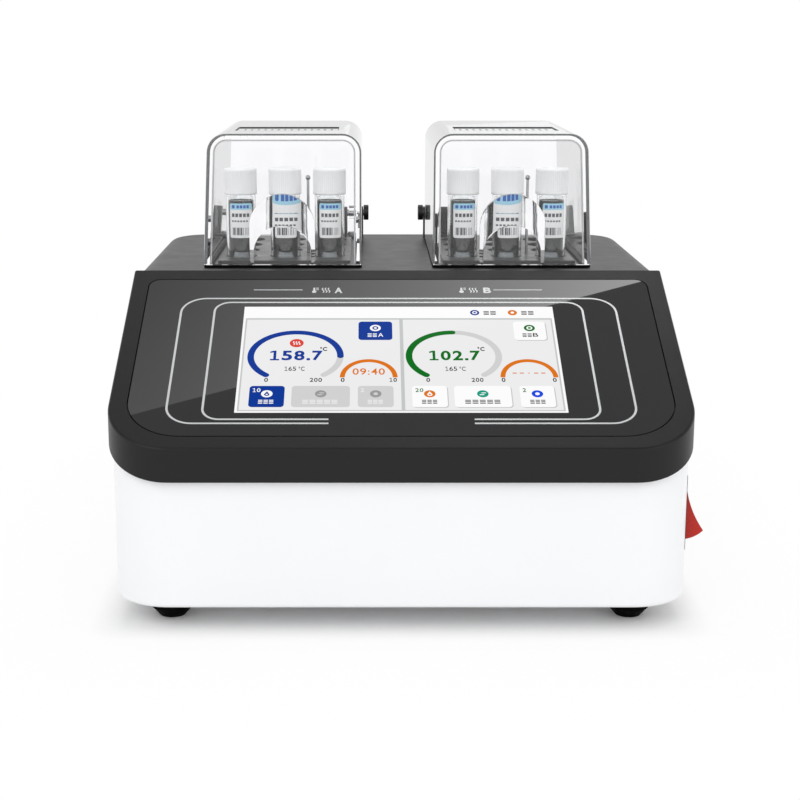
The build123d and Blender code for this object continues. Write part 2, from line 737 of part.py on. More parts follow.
# ---- Power switch --------------------------------------------------------------------------------
switch_inner_width = rocker_width + 2 * rocker_gap
switch_inner_height = 2 * (rocker_radius + rocker_gap)
switch_front = switch_face.offset(switch_flange_rise)
with BuildPart() as switch_frame:
    with BuildSketch(switch_face):
        with Locations((switch_y, switch_z)):
            Rectangle(switch_hole_width, switch_hole_height)
    extrude(amount=-switch_depth)
    with BuildSketch(switch_front):
        with Locations((switch_y, switch_z)):
            Rectangle(switch_hole_width + 2 * switch_flange, switch_hole_height + 2 * switch_flange)
    extrude(amount=-switch_flange_thickness)
    with BuildSketch(switch_front):
        with Locations((switch_y, switch_z)):
            Rectangle(switch_inner_width, switch_inner_height)
    extrude(amount=-(switch_flange_rise + switch_depth - switch_wall), mode=Mode.SUBTRACT)
    with BuildSketch(Plane.XZ.offset(-switch_y)):
        with Locations((rocker_x, switch_z)):
            Circle(rocker_pin_radius + rocker_pin_clearance)
    pin_reach = rocker_width / 2 + rocker_pin_length + rocker_gap
    extrude(amount=pin_reach, both=True, mode=Mode.SUBTRACT)
    with BuildSketch(switch_face.offset(-switch_depth)):
        with Locations((switch_y, switch_z)):
            with GridLocations(switch_tab_pitch, 2 * switch_tab_pitch, 2, 2):
                Rectangle(switch_tab_thickness, switch_tab_width)
    extrude(amount=-switch_tab_length)
save(switch_frame, "switch_frame")


def rocker_point(radius, angle):
    """Point on the rocker's side view; the angle is from straight out, upwards, before the tilt."""
    turned = radians(angle + rocker_tilt)
    return (rocker_x + radius * cos(turned), switch_z + radius * sin(turned))


with BuildPart() as switch_rocker:
    back_angle = degrees(atan2(sqrt(rocker_radius**2 - rocker_back**2), -rocker_back))
    side_angle = (rocker_half_angle + back_angle) / 2
    face_depth = rocker_radius * cos(radians(rocker_half_angle)) - rocker_dish
    with BuildSketch(Plane.XZ.offset(-(switch_y + rocker_width / 2))):
        with BuildLine():
            top_tip = rocker_point(rocker_radius, rocker_half_angle)
            low_tip = rocker_point(rocker_radius, -rocker_half_angle)
            top_back = rocker_point(rocker_radius, back_angle)
            low_back = rocker_point(rocker_radius, -back_angle)
            ThreePointArc(top_tip, rocker_point(face_depth, 0), low_tip)
            ThreePointArc(low_tip, rocker_point(rocker_radius, -side_angle), low_back)
            Line(low_back, top_back)
            ThreePointArc(top_back, rocker_point(rocker_radius, side_angle), top_tip)
        make_face()
    extrude(amount=rocker_width)
    edges_outwards = switch_rocker.edges().filter_by(Axis.Y).sort_by(Axis.X)
    fillet(edges_outwards[-2:], radius=rocker_tip_round)
    with BuildSketch(Plane.XZ.offset(-(switch_y + rocker_width / 2 + rocker_pin_length))):
        with Locations((rocker_x, switch_z)):
            Circle(rocker_pin_radius)
    extrude(amount=rocker_width + 2 * rocker_pin_length)
save(switch_rocker, "switch_rocker")

# ---- Power inlet and its fuse drawer -------------------------------------------------------------
with BuildPart() as power_inlet:
    with BuildSketch(rear_face.offset(inlet_flange_thickness)):
        with Locations((-inlet_x, inlet_z)):
            RectangleRounded(inlet_flange_width, inlet_flange_height, inlet_flange_round)
    extrude(amount=-inlet_flange_thickness)
    with BuildSketch(rear_face):
        with Locations((-inlet_x, inlet_z)):
            Rectangle(inlet_body_width, inlet_body_height)
    extrude(amount=-inlet_body_depth)
    with BuildSketch(rear_face.offset(inlet_flange_thickness)) as socket_outline:
        with Locations((-inlet_x, inlet_z - inlet_socket_drop)):
            Rectangle(inlet_socket_width, inlet_socket_height)
        chamfer(socket_outline.vertices().group_by(Axis.Y)[-1], length=inlet_socket_bevel)
    extrude(amount=-inlet_socket_depth, mode=Mode.SUBTRACT)
    with BuildSketch(rear_face.offset(inlet_flange_thickness)):
        with Locations((-inlet_x, inlet_z + fuse_rise)):
            Rectangle(fuse_width + 2 * fuse_gap, fuse_height + 2 * fuse_gap)
    extrude(amount=-(fuse_depth + fuse_gap), mode=Mode.SUBTRACT)
    with BuildSketch(rear_face.offset(inlet_flange_thickness - inlet_socket_depth)):
        with Locations((-inlet_x, inlet_z - inlet_socket_drop)):
            with Locations((0, inlet_earth_offset / 2)):
                Rectangle(inlet_pin_width, inlet_pin_height)
            with Locations((0, -inlet_earth_offset / 2)):
                with GridLocations(inlet_pin_spacing, 0, 2, 1):
                    Rectangle(inlet_pin_width, inlet_pin_height)
    extrude(amount=inlet_pin_length)
    with BuildSketch(rear_face.offset(inlet_flange_thickness)):
        with Locations((-inlet_x, inlet_z)):
            with GridLocations(inlet_screw_spacing, 0, 2, 1):
                Circle(small_hole_radius)
    extrude(amount=-inlet_flange_thickness, mode=Mode.SUBTRACT)
save(power_inlet, "power_inlet")

with BuildPart() as fuse_drawer:
    with BuildSketch(rear_face.offset(inlet_flange_thickness + fuse_face)):
        with Locations((-inlet_x, inlet_z + fuse_rise)):
            Rectangle(fuse_width, fuse_height)
    extrude(amount=-(fuse_depth + fuse_face))
    with BuildSketch(rear_face.offset(inlet_flange_thickness + fuse_face)):
        with Locations((-inlet_x, inlet_z + fuse_rise)):
            Rectangle(fuse_width / 2, fuse_height / 3)
    extrude(amount=-fuse_grip_depth, mode=Mode.SUBTRACT)
save(fuse_drawer, "fuse_drawer")

with BuildPart() as inlet_screws:
    with BuildSketch(rear_face.offset(inlet_flange_thickness)):
        with Locations((-inlet_x, inlet_z)):
            with GridLocations(inlet_screw_spacing, 0, 2, 1):
                Circle(inlet_head_radius)
    extrude(amount=inlet_head_height)
    with BuildSketch(rear_face.offset(inlet_flange_thickness)):
        with Locations((-inlet_x, inlet_z)):
            with GridLocations(inlet_screw_spacing, 0, 2, 1):
                Circle(small_screw_radius)
    extrude(amount=-(inlet_flange_thickness + 2 * housing_wall))
save(inlet_screws, "inlet_screws")

# ---- Fan behind the rear wall --------------------------------------------------------------------
fan_back_face = Plane(origin=(fan_x, housing_inner_back, fan_z), x_dir=(-1, 0, 0), z_dir=(0, 1, 0))
fan_front_face = fan_back_face.offset(-fan_depth)
with BuildPart() as fan_frame:
    with BuildSketch(fan_back_face):
        RectangleRounded(fan_size, fan_size, fan_corner_round)
        Circle(fan_bore_radius, mode=Mode.SUBTRACT)
        with GridLocations(fan_screw_spacing, fan_screw_spacing, 2, 2):
            Circle(small_hole_radius, mode=Mode.SUBTRACT)
    extrude(amount=-fan_depth)
    with BuildSketch(fan_front_face):
        Circle(fan_hub_radius)
        Rectangle(2 * fan_bore_radius + fan_spoke_width, fan_spoke_width)
        Rectangle(fan_spoke_width, 2 * fan_bore_radius + fan_spoke_width)
    extrude(amount=fan_spider)
    with BuildSketch(fan_front_face):
        Circle(fan_pin_radius)
    extrude(amount=fan_depth - fan_spider)
save(fan_frame, "fan_frame")

with BuildPart() as fan_rotor:
    rotor_front = fan_front_face.offset(fan_spider + rotor_gap)
    with BuildSketch(rotor_front):
        Circle(fan_hub_radius)
    extrude(amount=fan_hub_length)
    rotor_middle = rotor_front.offset(fan_hub_length / 2)
    for blade in range(fan_blades):
        turn = 2 * pi * blade / fan_blades
        outwards = rotor_middle.x_dir * cos(turn) + rotor_middle.y_dir * sin(turn)
        blade_root = Plane(
            origin=rotor_middle.origin + outwards * (fan_hub_radius - fan_blade_thickness),
            x_dir=rotor_middle.z_dir,
            z_dir=outwards,
        )
        with BuildSketch(blade_root):
            Rectangle(fan_blade_length, fan_blade_thickness, rotation=fan_blade_pitch)
        extrude(amount=fan_blade_radius - fan_hub_radius + fan_blade_thickness)
    with BuildSketch(rotor_front):
        Circle(fan_pin_radius + fan_pin_clearance)
    extrude(amount=fan_hub_length, mode=Mode.SUBTRACT)
save(fan_rotor, "fan_rotor")

guard_face = Plane(origin=(fan_x, housing_back, fan_z), x_dir=(-1, 0, 0), z_dir=(0, 1, 0))
with BuildPart() as fan_guard:
    with BuildSketch(guard_face):
        Circle(fan_bore_radius + guard_rim)
        Circle(fan_bore_radius, mode=Mode.SUBTRACT)
        for ring in range(1, guard_rings + 1):
            Circle(guard_ring_pitch * ring + guard_wire / 2)
            Circle(guard_ring_pitch * ring - guard_wire / 2, mode=Mode.SUBTRACT)
        with Locations(Rotation(0, 0, guard_bar_angle)):
            Rectangle(2 * fan_bore_radius + guard_rim, guard_wire)
            Rectangle(guard_wire, 2 * fan_bore_radius + guard_rim)
        with GridLocations(fan_screw_spacing, fan_screw_spacing, 2, 2):
            Circle(guard_ear_radius)
            Circle(small_hole_radius, mode=Mode.SUBTRACT)
    extrude(amount=guard_thickness)
save(fan_guard, "fan_guard")

with BuildPart() as fan_screws:
    with BuildSketch(guard_face.offset(guard_thickness)):
        with GridLocations(fan_screw_spacing, fan_screw_spacing, 2, 2):
            Circle(small_head_radius)
    extrude(amount=small_head_height)
    with BuildSketch(guard_face.offset(guard_thickness)):
        with GridLocations(fan_screw_spacing, fan_screw_spacing, 2, 2):
            Circle(small_screw_radius)
    extrude(amount=-(guard_thickness + housing_wall + fan_depth / 2))
save(fan_screws, "fan_screws")

# ---- Heating zones: one set each side ------------------------------------------------------------
for zone, centre in zones:
    with BuildPart() as heating_block:
        with BuildSketch(Plane.XY.offset(block_bottom)):
            with Locations((centre, rows_centre_y)):
                Rectangle(block_width, block_length)
        extrude(amount=block_top - block_bottom)
        with BuildSketch(Plane.XY.offset(block_top)):
            with Locations((centre, rows_centre_y)):
                with GridLocations(column_pitch, row_pitch, well_columns, well_rows):
                    Circle(well_radius)
        extrude(amount=-(block_top - well_bottom), mode=Mode.SUBTRACT)
        well_feet = heating_block.edges().filter_by(GeomType.CIRCLE).group_by(Axis.Z)[0]
        fillet(well_feet, radius=well_foot_round)
        with BuildSketch(Plane.XY.offset(block_top)):
            with Locations((centre + column_pitch / 2, probe_y)):
                Circle(probe_radius + probe_clearance)
        extrude(amount=-(block_top - (deck_height - probe_depth)), mode=Mode.SUBTRACT)
    save(heating_block, f"heating_block_{zone}")

    with BuildPart() as heater_plate:
        with BuildSketch(Plane.XY.offset(heater_bottom)):
            with Locations((centre, rows_centre_y)):
                Rectangle(block_width - 2 * heater_inset, block_length - 2 * heater_inset)
        extrude(amount=heater_thickness)
    save(heater_plate, f"heater_plate_{zone}")

    cutout_plane = Plane.XZ.offset(-block_front)
    with BuildPart() as insulation_jacket:
        with BuildSketch(Plane.XY.offset(jacket_bottom)):
            with Locations((centre, rows_centre_y)):
                Rectangle(jacket_width, jacket_length)
        extrude(amount=jacket_top - jacket_bottom)
        with BuildSketch(Plane.XY.offset(heater_bottom)):
            with Locations((centre, rows_centre_y)):
                Rectangle(block_width + 2 * jacket_clearance, block_length + 2 * jacket_clearance)
        extrude(amount=jacket_top - heater_bottom, mode=Mode.SUBTRACT)
        with BuildSketch(cutout_plane):
            with Locations((centre, cutout_z)):
                Circle(cutout_radius + jacket_clearance)
        extrude(amount=2 * jacket_wall, mode=Mode.SUBTRACT)
    save(insulation_jacket, f"insulation_jacket_{zone}")

    with BuildPart() as thermal_cutout:
        with BuildSketch(cutout_plane):
            with Locations((centre, cutout_z)):
                Circle(cutout_radius)
        extrude(amount=cutout_body)
        with BuildSketch(cutout_plane.offset(cutout_body)):
            with Locations((centre, cutout_z)):
                with GridLocations(cutout_radius, 0, 2, 1):
                    Rectangle(cutout_tab_thickness, cutout_tab_width)
        extrude(amount=cutout_tab_length)
    save(thermal_cutout, f"thermal_cutout_{zone}")

    leg_spacing_x = jacket_width - 2 * stand_leg_inset
    leg_spacing_y = jacket_length - 2 * stand_leg_inset
    with BuildPart() as block_stand:
        with BuildSketch(Plane.XY.offset(tray_bottom)):
            with Locations((centre, rows_centre_y)):
                Rectangle(jacket_width, jacket_length)
        extrude(amount=tray_thickness)
        with BuildSketch(Plane.XY.offset(plate_top)):
            with Locations((centre, rows_centre_y)):
                with GridLocations(leg_spacing_x, leg_spacing_y, 2, 2):
                    Circle(stand_leg_radius)
        extrude(amount=tray_bottom - plate_top)
    save(block_stand, f"block_stand_{zone}")

    with BuildPart() as block_cover:
        with BuildSketch(Plane.XY.offset(deck_height)):
            with Locations((centre, (cover_plate_front + cover_plate_back) / 2)):
                RectangleRounded(cover_plate_width, cover_plate_back - cover_plate_front, cover_plate_round)
            with Locations((centre, rows_centre_y)):
                with GridLocations(column_pitch, row_pitch, well_columns, well_rows):
                    Circle(plate_hole_radius, mode=Mode.SUBTRACT)
            with Locations((centre + column_pitch / 2, probe_y)):
                Circle(probe_radius + probe_clearance, mode=Mode.SUBTRACT)
        extrude(amount=cover_plate_thickness)
        chamfer(block_cover.edges().group_by(Axis.Z)[-1], length=cover_plate_bevel)
    save(block_cover, f"block_cover_{zone}")

    with BuildPart() as temperature_probe:
        with BuildSketch(Plane.XY.offset(deck_height - probe_depth)):
            with Locations((centre + column_pitch / 2, probe_y)):
                Circle(probe_radius)
        extrude(amount=probe_depth + probe_height)
        with Locations((centre + column_pitch / 2, probe_y, deck_height + probe_height + probe_radius)):
            Sphere(probe_ball_radius)
    save(temperature_probe, f"temperature_probe_{zone}")

# ---- Hoods, their seals and hinges ---------------------------------------------------------------
def hood_form(side, inset, low, back_round, front_round):
    """Hood outline run from back to front, set in all round; side is -1 on the left, 1 on the right."""
    inner = side * (hood_inner_x + inset)
    outer = side * (hood_inner_x + hood_width - inset)
    top_outer = outer - side * hood_lean
    top = hood_top - inset
    with BuildPart() as form:
        with BuildSketch(Plane.XZ.offset(-(hood_back - inset))) as outline:
            with BuildLine():
                Polyline((inner, low), (inner, top), (top_outer, top), (outer, low), close=True)
            make_face()
            fillet(outline.vertices().group_by(Axis.Y)[-1], radius=hood_top_round - inset)
        extrude(amount=hood_back - hood_front - 2 * inset)
        back_edges = form.faces().sort_by(Axis.Y)[-1].edges().sort_by(Axis.Z)[1:]
        fillet(back_edges, radius=back_round)
        if front_round:
            front_edges = form.faces().sort_by(Axis.Y)[0].edges().sort_by(Axis.Z)[1:]
            fillet(front_edges, radius=front_round)
    return form.part


for zone, centre in zones:
    side = -1 if centre < 0 else 1
    hood_mid_x = side * (hood_inner_x + hood_width / 2)
    vent_x = side * (hood_inner_x + (hood_width - hood_lean) / 2)

    # Finger grip: an arch with a crowned face, hollowed below so that fingers reach under it
    grip_spring = deck_height + grip_height - grip_width / 2
    finger_spring = deck_height + finger_height - finger_width / 2
    grip_axis_y = hood_front - grip_crown + grip_round_across
    with BuildPart() as grip_crown_form:
        crown_rise = grip_height - grip_crown_height + hood_wall
        crown_sweep = degrees(atan2(crown_rise, sqrt(grip_round_upright**2 - crown_rise**2)))
        crown_z = deck_height + grip_crown_height
        with BuildSketch(Plane.YZ.offset(hood_mid_x)):
            with BuildLine():
                crown = CenterArc(
                    (hood_front - grip_crown + grip_round_upright, crown_z),
                    grip_round_upright,
                    180,
                    -crown_sweep,
                )
                Polyline(crown @ 1, (grip_axis_y, (crown @ 1).Y), (grip_axis_y, hood_bottom),
                         (hood_front - grip_foot_crown, hood_bottom), crown @ 0)
            make_face()
        revolve(axis=Axis((hood_mid_x, grip_axis_y, 0), (0, 0, 1)))
    with BuildPart() as grip:
        with BuildSketch(Plane.XZ.offset(-(hood_front + hood_wall / 2))):
            with Locations((hood_mid_x, (hood_bottom + grip_spring) / 2)):
                Rectangle(grip_width, grip_spring - hood_bottom)
            with Locations((hood_mid_x, grip_spring)):
                Circle(grip_width / 2)
        extrude(amount=2 * grip_crown)
        add(grip_crown_form.part, mode=Mode.INTERSECT)
        with BuildSketch(Plane.XZ.offset(-hood_front)):
            with Locations((hood_mid_x, (hood_bottom + finger_spring) / 2)):
                Rectangle(finger_width, finger_spring - hood_bottom)
            with Locations((hood_mid_x, finger_spring)):
                Circle(finger_width / 2)
        extrude(amount=2 * grip_crown, mode=Mode.SUBTRACT)

    with BuildPart() as hood:
        add(hood_form(side, 0, hood_bottom, hood_back_round, hood_front_round))
        add(hood_form(side, hood_wall, deck_height, hood_back_round - hood_wall, 0), mode=Mode.SUBTRACT)
        add(grip.part)
        # Sunken vent with two rows of slots
        with BuildSketch(Plane.XY.offset(hood_top)):
            with Locations((vent_x, hood_front + vent_start + vent_length / 2)):
                Rectangle(vent_width, vent_length)
        extrude(amount=-vent_depth, mode=Mode.SUBTRACT)
        with BuildSketch(Plane.XY.offset(hood_top)):
            with Locations((vent_x, hood_front + vent_start + vent_length / 2)):
                with GridLocations(vent_slot_pitch, vent_slot_length + vent_row_gap, vent_slots, 2):
                    Rectangle(vent_slot_width, vent_slot_length)
        extrude(amount=-2 * hood_wall, mode=Mode.SUBTRACT)
        # Two arms that run back onto the hinge pins
        for arm_x in (centre - hinge_arm_offset, centre + hinge_arm_offset):
            with BuildSketch(Plane.YZ.offset(arm_x)):
                with Locations((hinge_y, hinge_z)):
                    Circle(hinge_arm_radius)
                with Locations(((hood_back - hood_wall / 2 + hinge_y) / 2, hinge_z)):
                    Rectangle(hinge_y - hood_back + hood_wall / 2, 2 * hinge_arm_radius)
            extrude(amount=hinge_arm_width / 2, both=True)
        with BuildSketch(Plane.YZ.offset(centre)):
            with Locations((hinge_y, hinge_z)):
                Circle(hinge_bore_radius)
        extrude(amount=hood_width / 2, both=True, mode=Mode.SUBTRACT)
    save(hood, f"hood_{zone}")

    with BuildPart() as hood_seal:
        with BuildSketch(Plane.XY.offset(deck_height)):
            with Locations((hood_mid_x, hood_centre_y)):
                RectangleRounded(hood_width, hood_back - hood_front, seal_corner)
                Rectangle(hood_width - 2 * seal_width, hood_back - hood_front - 2 * seal_width,
                          mode=Mode.SUBTRACT)
        extrude(amount=seal_height)
    save(hood_seal, f"hood_seal_{zone}")

    with BuildPart() as hinge_brackets:
        base_width = hinge_outer_face - hinge_post_offset + hinge_post_width / 2
        base_offset = hinge_outer_face - base_width / 2
        with BuildSketch(Plane.XY.offset(deck_height)):
            with Locations((centre, hinge_y)):
                with GridLocations(2 * base_offset, 0, 2, 1):
                    RectangleRounded(base_width, hinge_base_depth, hinge_base_round)
        extrude(amount=hinge_base_thickness)
        uprights = ((hinge_post_offset, hinge_post_width), (hinge_ear_offset, hinge_ear_width))
        for offset_x, width in uprights:
            for upright_x in (centre - offset_x, centre + offset_x):
                with BuildSketch(Plane.YZ.offset(upright_x)):
                    with Locations((hinge_y, hinge_z)):
                        Circle(hinge_head_radius)
                    with Locations((hinge_y, deck_height + hinge_rise / 2)):
                        Rectangle(2 * hinge_head_radius, hinge_rise)
                extrude(amount=width / 2, both=True)
        with BuildSketch(Plane.YZ.offset(centre)):
            with Locations((hinge_y, hinge_z)):
                Circle(hinge_bore_radius)
        extrude(amount=hood_width, both=True, mode=Mode.SUBTRACT)
        with BuildSketch(Plane.XY.offset(deck_height)):
            with Locations((centre, hinge_y)):
                with GridLocations(2 * hinge_screw_offset, 0, 2, 1):
                    Circle(small_hole_radius)
        extrude(amount=hinge_base_thickness, mode=Mode.SUBTRACT)
    save(hinge_brackets, f"hinge_brackets_{zone}")

    # A short pin on each side, from its knob through the ear and the hood's arm into the post
    with BuildPart() as hinge_pins:
        for pin_side in (-1, 1):
            with BuildSketch(Plane.YZ.offset(centre + pin_side * hinge_pin_start)):
                with Locations((hinge_y, hinge_z)):
                    Circle(hinge_pin_radius)
            extrude(amount=pin_side * hinge_pin_length)
    save(hinge_pins, f"hinge_pins_{zone}")

    with BuildPart() as hinge_knobs:
        for knob_side in (-1, 1):
            knob_face = centre + knob_side * (hinge_outer_face + knob_gap)
            with BuildSketch(Plane.YZ.offset(knob_face)):
                with Locations((hinge_y, hinge_z)):
                    Circle(knob_radius)
            extrude(amount=knob_side * knob_width)
        chamfer(hinge_knobs.edges().filter_by(GeomType.CIRCLE), length=knob_bevel)
        with BuildSketch(Plane.YZ.offset(centre)):
            with Locations((hinge_y, hinge_z)):
                Circle(hinge_pin_radius)
        extrude(amount=hinge_outer_face + knob_gap + knob_bore_depth, both=True, mode=Mode.SUBTRACT)
    save(hinge_knobs, f"hinge_knobs_{zone}")

with BuildPart() as hinge_screws:
    for zone, centre in zones:
        with BuildSketch(Plane.XY.offset(deck_height + hinge_base_thickness)):
            with Locations((centre, hinge_y)):
                with GridLocations(2 * hinge_screw_offset, 0, 2, 1):
                    Circle(small_head_radius)
        extrude(amount=small_head_height)
        with BuildSketch(Plane.XY.offset(deck_height + hinge_base_thickness)):
            with Locations((centre, hinge_y)):
                with GridLocations(2 * hinge_screw_offset, 0, 2, 1):
                    Circle(small_screw_radius)
        extrude(amount=-(hinge_base_thickness + 2 * cover_skin))
save(hinge_screws, "hinge_screws")

# ---- Sample tubes in the front row of each block -------------------------------------------------
shoulder_z = deck_height + tube_shoulder
neck_top = shoulder_z + tube_neck_height
for zone, centre in zones:
    for column in range(well_columns):
        tube_x = centre + (column - (well_columns - 1) / 2) * column_pitch
        number = column + 1
        with BuildPart() as sample_tube:
            with BuildSketch(Plane.XY.offset(well_bottom)):
                with Locations((tube_x, first_row_y)):
                    Circle(tube_radius)
            extrude(amount=shoulder_z - well_bottom)
            fillet(sample_tube.edges().group_by(Axis.Z)[0], radius=tube_end_round)
            with BuildSketch(Plane.XY.offset(shoulder_z)):
                with Locations((tube_x, first_row_y)):
                    Circle(tube_neck_radius)
            extrude(amount=tube_neck_height)
            with BuildSketch(Plane.XY.offset(well_bottom + 2 * tube_wall)):
                with Locations((tube_x, first_row_y)):
                    Circle(tube_neck_radius - tube_wall)
            extrude(amount=neck_top - well_bottom, mode=Mode.SUBTRACT)
            with BuildSketch(Plane.XY.offset(well_bottom + tube_end_round)):
                with Locations((tube_x, first_row_y)):
                    Circle(tube_radius - tube_wall)
            extrude(amount=shoulder_z - tube_wall - well_bottom - tube_end_round, mode=Mode.SUBTRACT)
        save(sample_tube, f"tube_{zone}{number}")

        with BuildPart() as tube_cap:
            with BuildSketch(Plane.XY.offset(shoulder_z)):
                with Locations((tube_x, first_row_y)):
                    Circle(cap_radius)
            extrude(amount=cap_height)
            fillet(tube_cap.edges().group_by(Axis.Z)[-1], radius=cap_edge_round)
            with BuildSketch(Plane.XY.offset(shoulder_z)):
                with Locations((tube_x, first_row_y)):
                    Circle(tube_neck_radius + cap_wall_clearance)
            extrude(amount=tube_neck_height + cap_wall_clearance, mode=Mode.SUBTRACT)
        save(tube_cap, f"tube_cap_{zone}{number}")
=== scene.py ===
import json
from math import atan2, ceil, cos, pi, radians, sin, sqrt, tan

import bmesh
import bpy
from mathutils import Matrix, Vector


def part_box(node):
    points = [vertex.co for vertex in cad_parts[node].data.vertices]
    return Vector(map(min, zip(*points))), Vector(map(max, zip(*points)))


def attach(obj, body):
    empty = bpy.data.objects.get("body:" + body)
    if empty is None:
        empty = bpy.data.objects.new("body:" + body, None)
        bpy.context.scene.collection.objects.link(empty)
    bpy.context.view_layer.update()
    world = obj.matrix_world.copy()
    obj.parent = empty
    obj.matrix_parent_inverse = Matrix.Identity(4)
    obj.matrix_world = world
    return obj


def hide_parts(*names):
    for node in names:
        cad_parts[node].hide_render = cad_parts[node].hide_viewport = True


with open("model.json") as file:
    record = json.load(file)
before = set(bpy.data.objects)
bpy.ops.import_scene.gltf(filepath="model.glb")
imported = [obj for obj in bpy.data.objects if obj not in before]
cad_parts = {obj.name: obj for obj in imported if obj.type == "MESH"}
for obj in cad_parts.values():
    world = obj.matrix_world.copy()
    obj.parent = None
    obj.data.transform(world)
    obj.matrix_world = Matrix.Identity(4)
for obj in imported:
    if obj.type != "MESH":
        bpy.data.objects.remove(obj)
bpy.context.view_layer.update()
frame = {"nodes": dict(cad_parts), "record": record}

bl_info = {
    "name": "Tube Digester",
    "version": (1, 0, 0),
    "blender": (4, 5, 0),
    "location": "View3D > Sidebar > Digester",
    "description": "Dresses a two-zone tube digester: prints, screen, labels, caps and finishes",
    "category": "Object",
}

NODES = frame["nodes"]
MM = 0.001

# ---- Places on the case, in millimetres ----------------------------------------------------------
COVER_LOW, COVER_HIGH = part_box("upper_cover")
MIDDLE_X = (COVER_LOW.x + COVER_HIGH.x) / 2 / MM
FRONT_Y = COVER_LOW.y / MM
FRONT_HEIGHT = 87.4
DECK_HEIGHT = 149.2
SLOPE_RUN = 131.2
SLOPE = atan2(DECK_HEIGHT - FRONT_HEIGHT, SLOPE_RUN)
ZONES = (("a", -60.0), ("b", 60.0))
WELL_PITCH = 24.0
TUBE_ROW_Y = 31.0
TUBE_RADIUS = 8.0
TUBE_WALL = 1.2
TUBE_FLOOR = 95.2
SHOULDER = 184.2
CAP_HEIGHT = 14.0
CAP_RADIUS = 8.8
NECK_RADIUS = 6.8
NECK_HEIGHT = 10.5
HOOD_FRONT = COVER_HIGH.y / MM - 155.0
HOOD_TOP = DECK_HEIGHT + 69.5
HOOD_INNER = 18.5           # walls of a hood, measured from the mid-plane at its foot
HOOD_OUTER = 101.2
HOOD_LEAN = 3.0
HOOD_ROUND = 10.0
VENT_MIDDLE = 58.35
VENT_WIDTH = 55.0
VENT_LENGTH = 35.0
VENT_START = 25.0           # behind the hood's front
SLOTS = 14                  # in each of the vent's two rows
SLOT_MARGIN = 4.1
SLOT_WIDTH = 1.6
SLOT_LENGTH = 12.0
SLOT_ROW_PITCH = 15.6
PRINT_GAP = 33.5            # half the opening in the silver outlines' lower side
EYE = (-16.14, -871.5, 270.3)
EYE_TILT = 12.515           # degrees down from level
SHEEN_ENDS = ((-123.7, 24.7), (124.5, 134.7))       # its edge on the console: across, up the slope
CARD_HEIGHT = 1.4           # metres over the bench


def linear(code):
    """Linear colour of a six-figure hexadecimal screen colour."""
    parts = [int(code[i:i + 2], 16) / 255 for i in (0, 2, 4)]
    return tuple(p / 12.92 if p <= 0.04045 else ((p + 0.055) / 1.055) ** 2.4 for p in parts)


def colour_setting(name, code, description):
    """Colour property with a hexadecimal default."""
    return bpy.props.FloatVectorProperty(
        name=name, description=description, subtype="COLOR", size=3, min=0, max=1, default=linear(code))


def length_setting(name, value, description):
    """Length property, in metres, with its default in millimetres."""
    return bpy.props.FloatProperty(
        name=name, description=description, unit="LENGTH", default=value * MM, min=0, precision=5)


class DigesterColours(bpy.types.PropertyGroup):
    """Colours of the case, the prints and the screen."""
    housing: colour_setting("Housing", "FBFCFE", "White moulded lower housing")
    cover: colour_setting("Cover", "131314", "Dark moulded upper cover")
    glass: colour_setting("Panel glass", "1F1F21", "Print behind the panel's glass")
    silver: colour_setting("Silver print", "DADCDD", "Lines and marks printed on the panel")
    rocker: colour_setting("Rocker", "C2200F", "Power switch")
    screen_white: colour_setting("Screen white", "FDFDFD", "Header and keys")
    screen_page: colour_setting("Screen page", "C6C8C7", "Space between the panels")
    screen_panel: colour_setting("Screen panel", "EEEEEF", "Ground of each zone's panel")
    screen_grey: colour_setting("Screen grey", "D2D2D3", "Idle keys and the gauges' rest")
    screen_blue: colour_setting("Screen blue", "053796", "Zone a")
    screen_green: colour_setting("Screen green", "066E1C", "Zone b")
    screen_orange: colour_setting("Screen orange", "DF7414", "Timers")
    screen_red: colour_setting("Screen red", "DD4034", "Heating badge")
    screen_teal: colour_setting("Screen teal", "159C80", "Preset icon")
    screen_sky: colour_setting("Screen sky", "1748E0", "Cooling icon")
    screen_ink: colour_setting("Screen ink", "2E2E30", "Small figures")
    screen_faded: colour_setting("Screen faded", "9A9A9B", "Signs on idle keys")
    label_band: colour_setting("Label band", "A9DDF2", "Band at the top of a tube's label")
    label_mark: colour_setting("Label mark", "2E62B8", "Mark on the band")


class DigesterSizes(bpy.types.PropertyGroup):
    """Sizes of the prints, the labels and the caps' ribs."""
    print_rise: length_setting("Print rise", 0.04, "How far a print stands off its ground")
    line_width: length_setting("Line width", 1.05, "Silver outline's width")
    outer_half: length_setting("Outer outline", 109.1, "Half the outer outline's width")
    inner_half: length_setting("Inner outline", 92.4, "Half the inner outline's width")
    label_low: length_setting("Label bottom", 12.0, "Height of the label's lower edge over the deck")
    label_high: length_setting("Label top", 30.6, "Height of the label's upper edge over the deck")
    label_width: length_setting("Label width", 13.0, "Label's width round the tube")
    label_turn: length_setting("Label turn", 0.7, "How far the label sits round from the front")
    rib_depth: length_setting("Rib depth", 0.35, "Depth of the grooves on a cap")
    rib_count: bpy.props.IntProperty(name="Ribs", description="Grooves round a cap", default=48, min=8)


def millimetres(length):
    """A length setting in millimetres."""
    return length / MM


def print_rise():
    """Height of a print off its ground, in millimetres."""
    return millimetres(bpy.context.scene.digester_sizes.print_rise)


def tubes():
    """Each tube's name and its place across."""
    for zone, centre in ZONES:
        for column in range(3):
            yield f"{zone}{column + 1}", centre + (column - 1) * WELL_PITCH


# ---- Places and outlines -------------------------------------------------------------------------
def on_case(x, y, z):
    """Point given from the case's mid-plane, in the part's frame."""
    return Vector(((x + MIDDLE_X) * MM, y * MM, z * MM))


